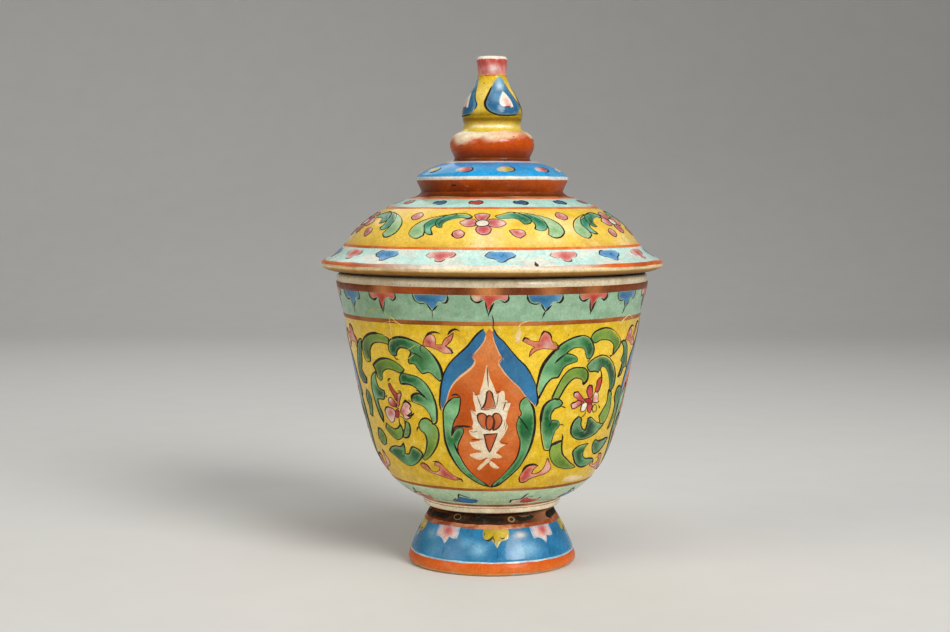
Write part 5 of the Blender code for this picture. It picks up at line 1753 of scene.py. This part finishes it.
def make_bodies():
    """The six turned bodies, each in the place of its CAD node."""
    ground = {name: banded(stops, wander) for name, (wander, stops) in GROUNDS.items()}
    inner = glazed("white_glaze", plain(WHITE, OFF_WHITE), rough=0.18, dirt=0.3)
    biscuit = glazed("bare_clay", plain(BISCUIT, DARK_BISCUIT), rough=0.62, dirt=0.5, wave=0.6, coat=0.0)
    # The bowl's underside is dark as painted shade under its ledge.
    shaded_underside = glazed("underside_clay_in_painted_shade", plain(SOOT, PALE_UNDERSIDE_SHADE), rough=0.6, dirt=0.5, wave=0.6, coat=0.0)
    under_lip = glazed("bare_seat", ground["seat"], rough=0.5, dirt=0.6, wave=0.5, coat=0.0)
    yellow = glazed("yellow_ground", mottled(ground["bowl"], STRAW, 330.0, 0.5), rough=0.2, dirt=0.4)
    cream = glazed("cream_glaze", mottled(ground["bowl"], WHITE, 140.0, 0.25), rough=0.2, dirt=0.5)
    turned("bowl_body", "bowl", "cup", [yellow, inner, shaded_underside, cream], bowl_zones)
    blue = glazed("blue_ground", mottled(ground["foot"], SKY, 95.0, 0.75), rough=0.2)
    turned("foot_body", "foot", "cup", [blue, biscuit], foot_zones)
    lemon = glazed("lemon_ground", mottled(ground["lid"], PALE_STRAW, 42.0, 0.95), rough=0.2, dirt=0.4)
    turned("lid_body", "lid_dome", "lid", [lemon, inner, under_lip], lid_zones)
    wall = glazed("tier_ground", mottled(ground["tier"], SKY, 120.0, 0.25), rough=0.2)
    turned("tier_body", "lid_tier", "lid", [wall], all_round)
    orange = glazed("cushion_ground", ground["cushion"], rough=0.22, coat=0.12)
    turned("cushion_body", "finial_cushion", "lid", [orange], all_round)
    gold = glazed("bud_ground", ground["bud"], rough=0.2, coat=0.12)
    turned("bud_body", "finial_bud", "lid", [gold], all_round)


def make_films():
    """The gathered enamels, one piece for each colour family on each skin."""
    materials = {}
    for name, (_, rough, coat) in FAMILIES.items():
        materials[name] = glazed(name + "_film", tinted, rough, FILM_DIRT, coat=coat)
    for skin in (bowl, foot, dome, tier, cushion, bud):
        for family, film in skin.films.items():
            film.build(FAMILIES[family][0], materials[family])


# Stage, light and camera

CAMERA_SPOT = (-0.0056, -0.5537, 0.1204)
CAMERA_TILT = 4.06
CAMERA_LENS = 63.7
CAMERA_SENSOR = 36.0
CAMERA_NEAR = 0.01

# The floor and backdrop, in metres
SWEEP_FRONT, SWEEP_BACK, SWEEP_HALF, SWEEP_BEND, SWEEP_TOP = -9.0, 0.9, 9.0, 0.5, 1.6
SWEEP_FACETS = 12
PAPER_GRAIN = 40.0
PAPER_ROUGH = 0.8

# Lamps: place, size, power, colour, and the spread in degrees; all are aimed at the middle of the cup
LAMP_AIM = (0, 0, 0.085)
LAMPS = {
    "key_lamp": ((0.9, -1.3, 0.86), 0.9, 2.6, (1.0, 0.98, 0.95), 50),
    "top_lamp": ((0.1, -0.35, 0.85), 0.5, 1.5, (1.0, 0.99, 0.97), 180),
    "fill_lamp": ((-1.1, -0.66, 0.5), 0.9, 0.8, (1.0, 0.94, 0.82), 60),
    "back_lamp": ((-0.2, 0.7, 0.7), 0.6, 0.9, (1.0, 1.0, 1.0), 180),
}
SKY_POWER = 0.22


def make_stage():
    """A pale floor that bends up into a backdrop."""
    profile = [(SWEEP_FRONT, 0.0), (SWEEP_BACK, 0.0)]
    for k in range(1, SWEEP_FACETS + 1):
        turn = k / SWEEP_FACETS * math.pi / 2
        profile.append((SWEEP_BACK + SWEEP_BEND * math.sin(turn), SWEEP_BEND * (1 - math.cos(turn))))
    profile.append((SWEEP_BACK + SWEEP_BEND, SWEEP_TOP))
    points = [(x, y, z) for y, z in profile for x in (-SWEEP_HALF, SWEEP_HALF)]
    faces = [[2 * k, 2 * k + 1, 2 * k + 3, 2 * k + 2] for k in range(len(profile) - 1)]
    mesh = bpy.data.meshes.new("sweep")
    mesh.from_pydata(points, [], faces)
    mesh.shade_smooth()
    material = bpy.data.materials.new("sweep_paper")
    material.use_nodes = True
    tree = material.node_tree
    where = node(tree, "TexCoord").outputs["Object"]
    tone = blend(tree, noise(tree, where, PAPER_GRAIN), opaque(PAPER), opaque(PALE_PAPER))
    tree.links.new(tone, tree.nodes["Principled BSDF"].inputs["Base Color"])
    tree.nodes["Principled BSDF"].inputs["Roughness"].default_value = PAPER_ROUGH
    mesh.materials.append(material)
    sweep = bpy.data.objects.new("sweep", mesh)
    bpy.context.scene.collection.objects.link(sweep)


def make_lamp(name, spot, size, power, colour, spread):
    lamp = bpy.data.lights.new(name, "AREA")
    lamp.shape, lamp.size, lamp.energy, lamp.color = "DISK", size, power, colour
    lamp.spread = math.radians(spread)
    holder = bpy.data.objects.new(name, lamp)
    holder.location = spot
    holder.rotation_euler = (Vector(LAMP_AIM) - Vector(spot)).to_track_quat("-Z", "Y").to_euler()
    bpy.context.scene.collection.objects.link(holder)


def make_light():
    for name, settings in LAMPS.items():
        make_lamp(name, *settings)
    world = bpy.data.worlds.new("studio")
    world.use_nodes = True
    world.node_tree.nodes["Background"].inputs[0].default_value = (1, 1, 1, 1)
    world.node_tree.nodes["Background"].inputs[1].default_value = SKY_POWER
    bpy.context.scene.world = world


def make_camera():
    camera = bpy.data.cameras.new("camera")
    camera.lens, camera.sensor_width = CAMERA_LENS, CAMERA_SENSOR
    camera.clip_start = CAMERA_NEAR
    holder = bpy.data.objects.new("camera", camera)
    holder.location = CAMERA_SPOT
    holder.rotation_euler = (math.radians(90 - CAMERA_TILT), 0, 0)
    bpy.context.scene.collection.objects.link(holder)
    bpy.context.scene.camera = holder


paint_bowl_bands()
paint_hanging()
paint_standing()
paint_medallion()
paint_fronds()
paint_flame()
paint_scroll(RIGHT_LEAVES, RIGHT_FLICKS)
paint_scroll(LEFT_LEAVES, LEFT_FLICKS)
paint_flower(RIGHT_PETALS, RIGHT_INK, RIGHT_STEMS)
paint_flower(LEFT_PETALS, LEFT_INK, LEFT_STEMS)
paint_bowl_buds()
paint_lid_bands()
paint_lid_dots()
paint_lid_trefoils()
paint_lid_sprays()
paint_tier()
paint_cushion()
paint_bud()
paint_foot_bands()
paint_foot_flowers()
paint_collar()
paint_joints()
paint_wear()
make_bodies()
make_films()
make_stage()
make_light()
make_camera()
bpy.context.scene.view_settings.view_transform = "Standard"
